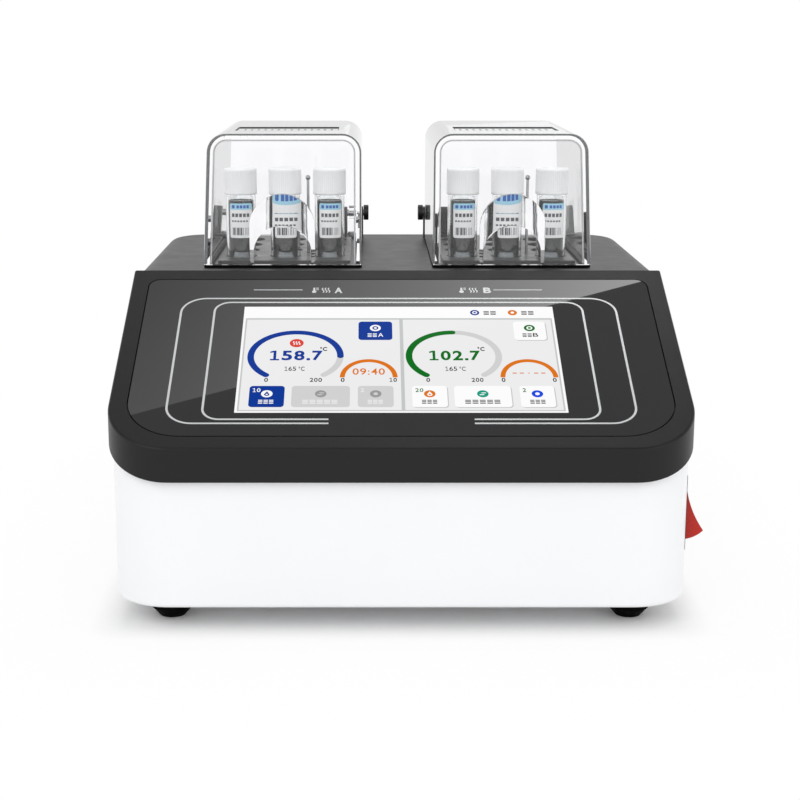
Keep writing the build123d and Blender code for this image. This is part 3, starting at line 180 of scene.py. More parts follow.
def on_console(x, up, out):
    """Point on the console: across, up its slope from the front edge, and out of its face."""
    y = FRONT_Y + up * cos(SLOPE) - out * sin(SLOPE)
    z = FRONT_HEIGHT + up * sin(SLOPE) + out * cos(SLOPE)
    return on_case(x, y, z)


def round_tube(tube_x, radius, turn):
    """Placer for a sheet wrapped round a tube: along the girth, height over the bench, outwards."""
    def place(along, height, out):
        angle = (along + turn) / radius - pi / 2
        reach = radius + out
        return on_case(tube_x + reach * cos(angle), TUBE_ROW_Y + reach * sin(angle), height)
    return place


def rounded(x0, y0, x1, y1, radius, steps=7):
    """Outline of a rectangle with round corners, counter-clockwise."""
    points = []
    corners = ((x1 - radius, y0 + radius, -pi / 2), (x1 - radius, y1 - radius, 0.0),
               (x0 + radius, y1 - radius, pi / 2), (x0 + radius, y0 + radius, pi))
    for cx, cy, start in corners:
        for step in range(steps + 1):
            angle = start + step / steps * pi / 2
            points.append((cx + radius * cos(angle), cy + radius * sin(angle)))
    return points


def square(x0, y0, x1, y1):
    """Outline of a rectangle, counter-clockwise."""
    return [(x0, y0), (x1, y0), (x1, y1), (x0, y1)]


def disc(cx, cy, radius, steps=40):
    """Outline of a disc."""
    angles = [2 * pi * i / steps for i in range(steps)]
    return [(cx + radius * cos(angle), cy + radius * sin(angle)) for angle in angles]


# ---- Mesh building -------------------------------------------------------------------------------
def add_slab(mesh, outline, place, low, high, paint):
    """Closed slab of the outline's shape between two heights off a surface."""
    bottom = [mesh.verts.new(place(x, y, low)) for x, y in outline]
    top = [mesh.verts.new(place(x, y, high)) for x, y in outline]
    faces = [mesh.faces.new(bottom[::-1]), mesh.faces.new(top)]
    for i in range(len(outline)):
        j = (i + 1) % len(outline)
        faces.append(mesh.faces.new((bottom[i], bottom[j], top[j], top[i])))
    for face in faces:
        face.material_index = paint


def add_band(mesh, inner, outer, place, low, high, paint, closed=False):
    """Closed strip between two lines of points, such as an arc or an outline."""
    count = len(inner)
    rings = []
    for line, height in ((inner, low), (outer, low), (outer, high), (inner, high)):
        rings.append([mesh.verts.new(place(x, y, height)) for x, y in line])
    faces = []
    for i in range(count if closed else count - 1):
        j = (i + 1) % count
        for k in range(4):
            here, there = rings[k], rings[(k + 1) % 4]
            faces.append(mesh.faces.new((here[i], here[j], there[j], there[i])))
    if not closed:
        faces.append(mesh.faces.new([ring[0] for ring in rings]))
        faces.append(mesh.faces.new([ring[-1] for ring in rings][::-1]))
    for face in faces:
        face.material_index = paint


def add_arc(mesh, centre, radii, width, start, end, place, low, high, paint, round_ends=True):
    """Part of a gauge's ring. Angles in degrees, counter-clockwise from the right."""
    steps = max(6, ceil(abs(end - start) / 3))
    inner, outer = [], []
    for i in range(steps + 1):
        angle = radians(start + (end - start) * i / steps)
        for line, inset in ((inner, width), (outer, 0.0)):
            across, up = (radii[0] - inset) * cos(angle), (radii[1] - inset) * sin(angle)
            line.append((centre[0] + across, centre[1] + up))
    for line in (0, -1) if round_ends else ():
        a, b = Vector(inner[line]), Vector(outer[line])
        middle, half = (a + b) / 2, (b - a).length / 2
        add_slab(mesh, disc(middle.x, middle.y, half, 24), place, low, high - 0.003, paint)
    add_band(mesh, inner, outer, place, low, high, paint)


def add_wave(mesh, x, low, tall, sway, half, steps, place, high, paint):
    """Upright wave, as in a sign for heat."""
    line = [(x + sway * sin(i / steps * 2 * pi), low + i / steps * tall) for i in range(steps + 1)]
    left, right = ([(px + shift, y) for px, y in line] for shift in (-half, half))
    add_band(mesh, left, right, place, 0.0, high, paint)


def drawn_glyph(letter, weight):
    """Mesh of one letter or figure of the built-in face, a unit deep."""
    curve = bpy.data.curves.new("glyph", "FONT")
    curve.body = letter
    curve.extrude = 0.5
    curve.offset = weight
    curve.resolution_u = 4
    holder = bpy.data.objects.new("glyph", curve)
    bpy.context.scene.collection.objects.link(holder)
    bpy.context.view_layer.update()
    drawn = bpy.data.meshes.new_from_object(holder)
    bpy.data.objects.remove(holder)
    bpy.data.curves.remove(curve)
    return drawn


def add_glyph(mesh, letter, box, place, low, high, paint, weight):
    """One letter or figure stretched over a box: left, bottom, right, top."""
    left, bottom, right, top = box
    wide, tall = right - left, top - bottom
    if letter == "1":
        stem, foot = 0.15 + 4 * weight, 0.09 + 1.5 * weight
        near, far = 0.52 - stem / 2, 0.52 + stem / 2
        one = ((0.08, 0), (0.96, 0), (0.96, foot), (far, foot), (far, 1), (near, 1), (0.06, 0.9),
               (0.06, 0.9 - foot), (near, 1 - 1.25 * foot), (near, foot), (0.08, foot))
        add_slab(mesh, [(left + x * wide, bottom + y * tall) for x, y in one], place, low, high, paint)
        return
    if letter in ".:":
        half = min(wide / 2, tall * (0.06 + 1.8 * weight))
        middle = (left + right) / 2
        for foot in (0.0, 0.5)[:1 + (letter == ":")]:
            base = bottom + foot * tall
            point = rounded(middle - half, base, middle + half, base + 2 * half, half / 2, 3)
            add_slab(mesh, point, place, low, high, paint)
        return
    drawn = drawn_glyph(letter, weight)
    xs = [v.co.x for v in drawn.vertices]
    ys = [v.co.y for v in drawn.vertices]
    scale_x = wide / (max(xs) - min(xs))
    scale_y = tall / (max(ys) - min(ys))
    for v in drawn.vertices:
        x = left + (v.co.x - min(xs)) * scale_x
        y = bottom + (v.co.y - min(ys)) * scale_y
        v.co = place(x, y, high if v.co.z > 0 else low)
    for face in drawn.polygons:
        face.material_index = paint
    mesh.from_mesh(drawn)
    bpy.data.meshes.remove(drawn)


def add_words(mesh, words, box, place, low, high, paint, weight=0.0):
    """Figures or letters in even cells that fill a box: left, bottom, right, top."""
    cells = {".": 0.45, ":": 0.5, "\u00b0": 0.55, " ": 0.4, "C": 1.05}
    widths = [cells.get(letter, 1.0) for letter in words]
    left, bottom, right, top = box
    gap = 0.16
    unit = (right - left) / (sum(widths) - gap)
    for letter, width in zip(words, widths):
        if letter != " ":
            foot = top - 0.42 * (top - bottom) if letter == "\u00b0" else bottom
            cell = (left, foot, left + (width - gap) * unit, top)
            add_glyph(mesh, letter, cell, place, low, high, paint, weight)
        left += width * unit


def add_sheet(mesh, box, place, low, high, paint, corner=0.0, step=0.8):
    """Thin sheet that follows a curved surface: left, bottom, right, top."""
    left, bottom, right, top = box
    columns = max(1, ceil((right - left) / step))
    xs = [left + (right - left) * i / columns for i in range(columns + 1)]
    if corner:
        turns = [corner * (1 - cos(pi / 2 * i / 5)) for i in range(1, 6)]
        xs = sorted({*xs[1:-1], left, right, *(left + t for t in turns), *(right - t for t in turns)})
    cuts = []
    for x in xs:
        reach = max(0.0, corner - (x - left), corner - (right - x))
        cuts.append(corner - sqrt(max(0.0, corner ** 2 - reach ** 2)) if corner else 0.0)
    lower = [(x, bottom + cut) for x, cut in zip(xs, cuts)]
    upper = [(x, top - cut) for x, cut in zip(xs, cuts)]
    add_band(mesh, lower, upper, place, low, high, paint)


def add_greeked(mesh, box, count, place, low, high, paint, rows=3):
    """Small bars that stand in for a line of words: left, bottom, right, top."""
    left, bottom, right, top = box
    step = (right - left) / count
    rise = (top - bottom) / rows
    for column in range(count):
        x0 = left + column * step
        for row in range(rows):
            y0 = bottom + row * rise
            add_slab(mesh, square(x0, y0, x0 + step * 0.8, y0 + rise * 0.55), place, low, high, paint)


def add_sign(mesh, kind, x, up, radius, place, height, face, mark):
    """Round sign of the screen: a disc with a ring, a drop, two strokes or a dot on it."""
    add_slab(mesh, disc(x, up, radius), place, 0.0, height, face)
    raised = height * 1.2
    if kind == "ring":
        rings = [disc(x, up, radius * share, 28) for share in (0.28, 0.56)]
        add_band(mesh, rings[0], rings[1], place, 0.0, raised, mark, True)
    elif kind == "drop":
        wide = radius * 0.48
        turns = [pi * i / 12 for i in range(13)]
        low_side = [(x + wide * cos(turn), up - 0.3 * wide - wide * sin(turn)) for turn in turns]
        add_slab(mesh, [(x, up + radius * 0.7), *low_side[::-1]], place, 0.0, raised, mark)
        add_slab(mesh, disc(x, up - 0.4 * wide, wide * 0.4, 16), place, 0.0, raised * 1.1, face)
    elif kind == "strokes":
        for side in (-1, 1):
            middle, foot = x + side * radius * 0.16, up + side * radius * 0.25
            add_slab(mesh, rounded(middle - radius * 0.42, foot - radius * 0.11, middle + radius * 0.42,
                                   foot + radius * 0.11, radius * 0.1, 3), place, 0.0, raised, mark)
    else:
        add_slab(mesh, disc(x, up, radius * 0.4, 20), place, 0.0, raised, mark)


def add_turned(mesh, profile, x, y, sides, shape=None):
    """Closed turned form. The profile's ends lie on the axis; shape changes a radius by angle and height."""
    rings = []
    for radius, height in profile:
        if radius == 0:
            rings.append([mesh.verts.new(on_case(x, y, height))])
            continue
        ring = []
        for i in range(sides):
            angle = 2 * pi * i / sides
            reach = shape(radius, angle, height) if shape else radius
            ring.append(mesh.verts.new(on_case(x + reach * cos(angle), y + reach * sin(angle), height)))
        rings.append(ring)
    for here, there in zip(rings, rings[1:]):
        for i in range(sides):
            j = (i + 1) % sides
            corners = [here[i % len(here)], here[j % len(here)], there[j % len(there)], there[i % len(there)]]
            mesh.faces.new(list(dict.fromkeys(corners)))


def make_piece(name, mesh, body, finishes, smooth=False):
    """Object from the built mesh. It rides on a body and has the named finishes."""
    bmesh.ops.remove_doubles(mesh, verts=mesh.verts, dist=1e-7)
    bmesh.ops.recalc_face_normals(mesh, faces=mesh.faces)
    data = bpy.data.meshes.new(name)
    mesh.to_mesh(data)
    mesh.free()
    if not data.polygons:
        raise RuntimeError(f"{name} came out empty")
    for finish in finishes:
        data.materials.append(finish_named(finish))
    for face in data.polygons:
        face.use_smooth = smooth
    piece = bpy.data.objects.new(name, data)
    bpy.context.scene.collection.objects.link(piece)
    if smooth:
        with bpy.context.temp_override(object=piece, active_object=piece, selected_objects=[piece],
                                       selected_editable_objects=[piece]):
            bpy.ops.object.shade_auto_smooth(angle=radians(35))
    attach(piece, body)
    return piece


def stage_object(name, mesh, finish):
    """Object of the stage from the built mesh, with its finish."""
    data = bpy.data.meshes.new(name)
    mesh.to_mesh(data)
    mesh.free()
    data.materials.append(finish)
    staged = bpy.data.objects.new(name, data)
    bpy.context.scene.collection.objects.link(staged)
    return staged


# ---- Shader node groups --------------------------------------------------------------------------
def feed(tree, socket, value):
    """Link a node's output to a socket, or set the socket to a plain value."""
    if isinstance(value, bpy.types.NodeSocket):
        tree.links.new(value, socket)
    else:
        socket.default_value = value


def new_group(name, inputs, outputs):
    """Empty shader group with its ends. A tuple gives a colour socket, a number a plain one."""
    group = bpy.data.node_groups.new(name, "ShaderNodeTree")
    for title, value in inputs.items():
        kind = "NodeSocketColor" if isinstance(value, tuple) else "NodeSocketFloat"
        group.interface.new_socket(name=title, in_out="INPUT", socket_type=kind).default_value = value
    for title in outputs:
        kind = "NodeSocketColor" if title == "Colour" else "NodeSocketFloat"
        group.interface.new_socket(name=title, in_out="OUTPUT", socket_type=kind)
    return group, group.nodes.new("NodeGroupInput"), group.nodes.new("NodeGroupOutput")


def object_space(tree):
    """Coordinates on the object itself."""
    return tree.nodes.new("ShaderNodeTexCoord").outputs["Object"]


def axes(tree, vector):
    """A vector's parts, by axis."""
    apart = tree.nodes.new("ShaderNodeSeparateXYZ")
    tree.links.new(vector, apart.inputs[0])
    return apart.outputs


def noise(tree, vector, scale, detail=3.0, roughness=0.5):
    """Noise texture on a vector."""
    node = tree.nodes.new("ShaderNodeTexNoise")
    for title, value in (("Vector", vector), ("Scale", scale), ("Detail", detail), ("Roughness", roughness)):
        feed(tree, node.inputs[title], value)
    return node.outputs["Fac"]


def calculate(tree, operation, a, b=0.0):
    """Math node."""
    node = tree.nodes.new("ShaderNodeMath")
    node.operation = operation
    feed(tree, node.inputs[0], a)
    feed(tree, node.inputs[1], b)
    return node.outputs[0]


def spread(tree, value, from_low, from_high, to_low, to_high):
    """Map Range node, clamped."""
    node = tree.nodes.new("ShaderNodeMapRange")
    titles = ("Value", "From Min", "From Max", "To Min", "To Max")
    for title, bound in zip(titles, (value, from_low, from_high, to_low, to_high)):
        feed(tree, node.inputs[title], bound)
    return node.outputs["Result"]


def blend_colours(tree, factor, first, second):
    """Mix node for colours."""
    node = tree.nodes.new("ShaderNodeMix")
    node.data_type = "RGBA"
    for socket, value in zip((node.inputs[0], node.inputs[6], node.inputs[7]), (factor, first, second)):
        feed(tree, socket, value)
    return node.outputs[2]


def scaled(tree, colour, factor):
    """Colour times a value."""
    node = tree.nodes.new("ShaderNodeVectorMath")
    node.operation = "SCALE"
    feed(tree, node.inputs[0], colour)
    feed(tree, node.inputs["Scale"], factor)
    return node.outputs["Vector"]


def mix_shaders(tree, factor, first, second):
    """Mix of two shaders, into the material's surface."""
    mix = tree.nodes.new("ShaderNodeMixShader")
    for socket, value in zip(mix.inputs, (factor, first.outputs[0], second.outputs[0])):
        feed(tree, socket, value)
    tree.links.new(mix.outputs[0], tree.nodes["Material Output"].inputs["Surface"])


def build_moulded_group():
    """Moulded plastic: fine grain, slight mottle and a soft bloom where hands rub."""
    group, given, out = new_group(
        "moulded_skin", {"Colour": (0.5, 0.5, 0.5, 1), "Shade": 0.9, "Grain Scale": 2400.0, "Rough Low": 0.35,
                         "Rough High": 0.5}, ("Colour", "Roughness", "Height"))
    where = object_space(group)
    mottle = noise(group, where, 22.0, 4.0, 0.55)
    grain = noise(group, where, given.outputs["Grain Scale"], 2.0, 0.6)
    rub = noise(group, where, 90.0, 5.0, 0.6)
    shade = spread(group, mottle, 0.3, 0.7, given.outputs["Shade"], 1.0)
    group.links.new(scaled(group, given.outputs["Colour"], shade), out.inputs["Colour"])
    rough = spread(group, rub, 0.35, 0.65, given.outputs["Rough Low"], given.outputs["Rough High"])
    group.links.new(rough, out.inputs["Roughness"])
    group.links.new(grain, out.inputs["Height"])
    return group


def build_metal_group():
    """Drawn or ground metal: streaks along one direction and cloudy tone."""
    group, given, out = new_group(
        "drawn_metal", {"Colour": (0.6, 0.6, 0.6, 1), "Stretch X": 1.0, "Stretch Y": 30.0, "Stretch Z": 30.0,
                        "Rough Low": 0.25, "Rough High": 0.45}, ("Colour", "Roughness", "Height"))
    where = object_space(group)
    stretch = group.nodes.new("ShaderNodeCombineXYZ")
    for axis in "XYZ":
        group.links.new(given.outputs[f"Stretch {axis}"], stretch.inputs[axis])
    along = group.nodes.new("ShaderNodeVectorMath")
    along.operation = "MULTIPLY"
    group.links.new(where, along.inputs[0])
    group.links.new(stretch.outputs[0], along.inputs[1])
    streak = noise(group, along.outputs["Vector"], 60.0, 4.0, 0.6)
    cloud = noise(group, where, 45.0, 4.0, 0.6)
    tone = calculate(group, "MULTIPLY", spread(group, streak, 0.3, 0.7, 0.88, 1.0),
                     spread(group, cloud, 0.3, 0.7, 0.92, 1.0))
    group.links.new(scaled(group, given.outputs["Colour"], tone), out.inputs["Colour"])
    rough = spread(group, streak, 0.3, 0.7, given.outputs["Rough Low"], given.outputs["Rough High"])
    group.links.new(rough, out.inputs["Roughness"])
    group.links.new(streak, out.inputs["Height"])
    return group


def build_lit_group():
    """Lit display: fine pixel rows in its colour."""
    group, given, out = new_group("lit_pixels", {"Colour": (1, 1, 1, 1), "Depth": 0.03}, ("Colour",))
    wave = group.nodes.new("ShaderNodeTexWave")
    wave.bands_direction = "X"
    wave.inputs["Scale"].default_value = 1500.0
    group.links.new(object_space(group), wave.inputs["Vector"])
    lowest = calculate(group, "SUBTRACT", 1.0, given.outputs["Depth"])
    level = spread(group, wave.outputs["Fac"], 0.0, 1.0, lowest, 1.0)
    group.links.new(scaled(group, given.outputs["Colour"], level), out.inputs["Colour"])
    return group


def seen_directly(tree):
    """One for rays from the camera, a mirror or clear glass, and none for scattered light."""
    path = tree.nodes.new("ShaderNodeLightPath")
    bright = calculate(tree, "MAXIMUM", path.outputs["Is Camera Ray"], path.outputs["Is Glossy Ray"])
    return calculate(tree, "MAXIMUM", bright, path.outputs["Is Transmission Ray"])


GROUP_BUILDERS = {
    "moulded_skin": build_moulded_group, "drawn_metal": build_metal_group, "lit_pixels": build_lit_group}


def group_node(tree, name, **values):
    """A shared group placed in a material with its own values."""
    group = bpy.data.node_groups.get(name) or GROUP_BUILDERS[name]()
    node = tree.nodes.new("ShaderNodeGroup")
    node.node_tree = group
    for title, value in values.items():
        node.inputs[title.replace("_", " ").title()].default_value = value
    return node


# ---- Materials -----------------------------------------------------------------------------------
def opaque(colour):
    """Colour with full alpha."""
    return (colour[0], colour[1], colour[2], 1.0)


def start_finish(name):
    """New node material with its Principled shader."""
    finish = bpy.data.materials.new(name)
    finish.use_nodes = True
    return finish, finish.node_tree, finish.node_tree.nodes["Principled BSDF"]


def add_bump(tree, shader, height, strength, distance):
    """Bump from a height into the shader's normal."""
    bump = tree.nodes.new("ShaderNodeBump")
    bump.inputs["Strength"].default_value = strength
    bump.inputs["Distance"].default_value = distance
    tree.links.new(height, bump.inputs["Height"])
    tree.links.new(bump.outputs["Normal"], shader.inputs["Normal"])


def moulded(name, colour, low, high, grain=2400.0, bump=0.12, shade=0.93, coat=0.0, gloss=0.5):
    """Moulded plastic or rubber."""
    finish, tree, shader = start_finish(name)
    skin = group_node(tree, "moulded_skin", colour=opaque(colour), shade=shade, grain_scale=grain,
                      rough_low=low, rough_high=high)
    tree.links.new(skin.outputs["Colour"], shader.inputs["Base Color"])
    tree.links.new(skin.outputs["Roughness"], shader.inputs["Roughness"])
    shader.inputs["Coat Weight"].default_value = coat
    shader.inputs["Specular IOR Level"].default_value = gloss
    add_bump(tree, shader, skin.outputs["Height"], bump, 0.00006)
    return finish


def metal(name, colour, low, high, stretch=(1.0, 30.0, 30.0), bump=0.08):
    """Bare or plated metal."""
    finish, tree, shader = start_finish(name)
    drawn = group_node(tree, "drawn_metal", colour=opaque(colour), stretch_x=stretch[0], stretch_y=stretch[1],
                       stretch_z=stretch[2], rough_low=low, rough_high=high)
    tree.links.new(drawn.outputs["Colour"], shader.inputs["Base Color"])
    tree.links.new(drawn.outputs["Roughness"], shader.inputs["Roughness"])
    shader.inputs["Metallic"].default_value = 1.0
    add_bump(tree, shader, drawn.outputs["Height"], bump, 0.00004)
    return finish


def clear(name, colour, edge, ior, onset=0.4, full=1.0):
    """Clear glass or plastic. Looked along, it takes the edge colour, from the onset to the full facing: the
    edge colour is painted shade, standing in for the dark surroundings that clear walls reflect and refract
    at a grazing angle.
    """
    finish, tree, shader = start_finish(name)
    add_bump(tree, shader, noise(tree, object_space(tree), 35.0, 2.0, 0.5), 0.05, 0.0002)
    # Painted shade: the base colour darkens towards the edge colour where the surface is seen aslant.
    facing = tree.nodes.new("ShaderNodeLayerWeight")
    facing.inputs["Blend"].default_value = 0.5
    painted_grazing_shade = calculate(tree, "POWER", spread(tree, facing.outputs["Facing"], onset, full, 0.0, 1.0), 2.0)
    tree.links.new(blend_colours(tree, painted_grazing_shade, opaque(colour), opaque(edge)), shader.inputs["Base Color"])
    shader.inputs["Roughness"].default_value = 0.0
    shader.inputs["IOR"].default_value = ior
    shader.inputs["Transmission Weight"].default_value = 1.0
    path = tree.nodes.new("ShaderNodeLightPath")
    mix_shaders(tree, path.outputs["Is Shadow Ray"], shader, tree.nodes.new("ShaderNodeBsdfTransparent"))
    return finish


def lit(name, colour):
    """Lit part of the display, under the panel's glass."""
    finish, tree, shader = start_finish(name)
    pixels = group_node(tree, "lit_pixels", colour=opaque(colour))
    tree.links.new(pixels.outputs["Colour"], shader.inputs["Emission Color"])
    shader.inputs["Emission Strength"].default_value = 1.0
    shader.inputs["Base Color"].default_value = (0.002, 0.002, 0.002, 1.0)
    shader.inputs["Roughness"].default_value = 0.05
    shader.inputs["Specular IOR Level"].default_value = 0.02
    return finish


def two_tone(tree, shader, pattern, colour, share):
    """Base colour that a pattern turns in places to a share of itself."""
    tone = blend_colours(tree, spread(tree, pattern, 0.3, 0.7, 0.0, 1.0), opaque(colour),
                         opaque([c * share for c in colour]))
    tree.links.new(tone, shader.inputs["Base Color"])


def panel_glass(name, colour):
    """Polished glass over a dark print, with faint marks from wiping."""
    finish, tree, shader = start_finish(name)
    marks = noise(tree, object_space(tree), 30.0, 6.0, 0.65)
    rough = spread(tree, marks, 0.35, 0.75, 0.006, 0.016)
    tree.links.new(rough, shader.inputs["Roughness"])
    two_tone(tree, shader, marks, colour, 0.9)
    return finish


def silver_print(name, colour):
    """Metallic ink behind glass."""
    finish, tree, shader = start_finish(name)
    flake = noise(tree, object_space(tree), 3000.0, 2.0, 0.6)
    two_tone(tree, shader, flake, colour, 0.8)
    tree.links.new(spread(tree, flake, 0.3, 0.7, 0.2, 0.35), shader.inputs["Roughness"])
    shader.inputs["Metallic"].default_value = 0.35
    return finish


def paper(name, colour):
    """Printed label paper with a faint fibre."""
    finish, tree, shader = start_finish(name)
    fibre = noise(tree, object_space(tree), 1800.0, 4.0, 0.7)
    two_tone(tree, shader, fibre, colour, 0.94)
    tree.links.new(spread(tree, fibre, 0.3, 0.7, 0.45, 0.6), shader.inputs["Roughness"])
    add_bump(tree, shader, fibre, 0.1, 0.00003)
    return finish


def circuit(name):
    """Solder mask with copper tracks under it."""
    finish, tree, shader = start_finish(name)
    tracks = tree.nodes.new("ShaderNodeTexBrick")
    tracks.inputs["Scale"].default_value = 160.0
    tracks.inputs["Mortar Size"].default_value = 0.06
    tracks.inputs["Color1"].default_value = (0.006, 0.07, 0.03, 1)
    tracks.inputs["Color2"].default_value = (0.008, 0.09, 0.04, 1)
    tracks.inputs["Mortar"].default_value = (0.03, 0.2, 0.08, 1)
    tree.links.new(object_space(tree), tracks.inputs["Vector"])
    tree.links.new(tracks.outputs["Color"], shader.inputs["Base Color"])
    shader.inputs["Roughness"].default_value = 0.3
    add_bump(tree, shader, tracks.outputs["Fac"], 0.2, 0.00005)
    return finish


# Each finish's maker, then what it takes after the name. Words are colour settings or hexadecimal colours.
RECIPES = {
    "white_housing": (moulded, "housing", 0.30, 0.42, 2600.0, 0.10, 0.985),
    "dark_cover": (moulded, "cover", 0.38, 0.42, 2600.0, 0.25, 0.97, 0.0, 0.3),
    "panel_glass": (panel_glass, "glass"),
    "display": (moulded, "0B0B0C", 0.2, 0.3),
    "zinc_steel": (metal, "C4C7CB", 0.28, 0.45),
    "black_steel": (moulded, "161617", 0.35, 0.5, 1800.0, 0.35),
    "stainless": (metal, "C8C9CC", 0.15, 0.3, (30.0, 30.0, 2.0)),
    "circuit_board": (circuit,),
    "black_plastic": (moulded, "141415", 0.35, 0.5, 2200.0, 0.2),
    "ribbon": (moulded, "A9ABAF", 0.45, 0.55),
    "rubber": (moulded, "040404", 0.6, 0.8, 1600.0, 0.35, 0.93, 0.0, 0.06),
    "red_plastic": (moulded, "rocker", 0.22, 0.32, 2600.0, 0.05, 0.95, 0.05, 0.35),
    "aluminium": (metal, "CDCED1", 0.25, 0.4, (30.0, 2.0, 30.0)),
    "heater_foil": (moulded, "A8532E", 0.5, 0.6, 900.0, 0.4),
    "insulation": (moulded, "E4E1D8", 0.8, 0.95, 500.0, 0.8, 0.85),
    "black_plate": (moulded, "2A2A2C", 0.3, 0.42, 2000.0, 0.2),
    "cutout_body": (moulded, "2B211C", 0.3, 0.45),
    # For the clear finishes the second colour is painted shade, taken where the surface is seen at a grazing
    # angle.
    "clear_plastic": (clear, "FDFDFE", "5A5C5E", 1.4, 0.35, 0.95),
    "tube_glass": (clear, "FAFCFC", "505456", 1.45),
    "cap_plastic": (moulded, "FBFCFC", 0.32, 0.45, 2400.0, 0.1, 0.985),
    "reagent": (clear, "B4B8B9", "606364", 1.33),
    "silver_print": (silver_print, "silver"),
    "label_white": (paper, "FAFBFB"),
    "label_band": (paper, "label_band"),
    "label_mark": (paper, "label_mark"),
    "label_ink": (paper, "55585C"),
    "mark_white": (moulded, "F2F2F2", 0.4, 0.5),
    # Painted shade on the clear hoods: grey along the front rim, pale grey along the fold and in the slots,
    # and dark grey as painted shadow round the vent.
    "hood_rim": (moulded, "727476", 0.3, 0.4),
    "hood_fold": (moulded, "C6C8C9", 0.3, 0.4),
    "vent_edge": (moulded, "3A3B3D", 0.5, 0.6),
}
FINISHES = {}


def finish_named(name):
    """A record slot's finish or a print's finish, made the first time that it is asked for."""
    if name in FINISHES:
        return FINISHES[name]
    colours = bpy.context.scene.digester_colours
    if name.startswith("screen_"):
        recipe = (lit, name)
    elif name in RECIPES:
        recipe = RECIPES[name]
    else:
        raise RuntimeError(f"no finish is named {name}")
    given = []
    for value in recipe[1:]:
        if isinstance(value, str):
            value = getattr(colours, value) if hasattr(colours, value) else linear(value)
        given.append(value)
    FINISHES[name] = recipe[0](name, *given)
    return FINISHES[name]


def dress(nodes):
    """Give each CAD node the finish of its record slot."""
    slots = {row["node"]: row["material_slot"] for row in frame["record"]["subparts"]}
    for node in nodes:
        finish = finish_named(slots[node])
        if not NODES[node].material_slots:
            NODES[node].data.materials.append(finish)
        for holder in NODES[node].material_slots:
            holder.material = finish


def nodes_starting(*starts):
    """CAD nodes whose names start with one of these."""
    found = [n for n in sorted(NODES) if n.startswith(starts)]
    if not found:
        raise RuntimeError(f"no CAD node starts with {starts}")
    return found


# ---- Operators -----------------------------------------------------------------------------------
class DressCase(bpy.types.Operator):
    """Finish the housing, cover, glass, feet, switch and rear fittings"""
    bl_idname = "digester.dress_case"
    bl_label = "Case finishes"

    def execute(self, context):
        dress(nodes_starting("lower_housing", "upper_cover", "touch_panel", "rubber_feet", "foot_screws",
                             "cover_screws", "switch_", "power_inlet", "fuse_drawer", "inlet_screws", "fan_"))
        return {"FINISHED"}


class DressInside(bpy.types.Operator):
    """Finish the pieces inside the case"""
    bl_idname = "digester.dress_inside"
    bl_label = "Inner finishes"

    def execute(self, context):
        dress(nodes_starting("display_", "chassis_plate", "power_supply", "control_board", "board_standoffs",
                             "heater_", "ribbon_cable", "insulation_", "thermal_", "block_stand"))
        return {"FINISHED"}


class DressZones(bpy.types.Operator):
    """Finish the blocks, probes, hoods, seals, hinges and tubes"""
    bl_idname = "digester.dress_zones"
    bl_label = "Zone finishes"

    def execute(self, context):
        dress(nodes_starting("heating_block", "block_cover", "temperature_probe", "hood_", "hinge_", "tube_"))
        for zone, _ in ZONES:
            NODES[f"hood_{zone}"].visible_glossy = False
        return {"FINISHED"}


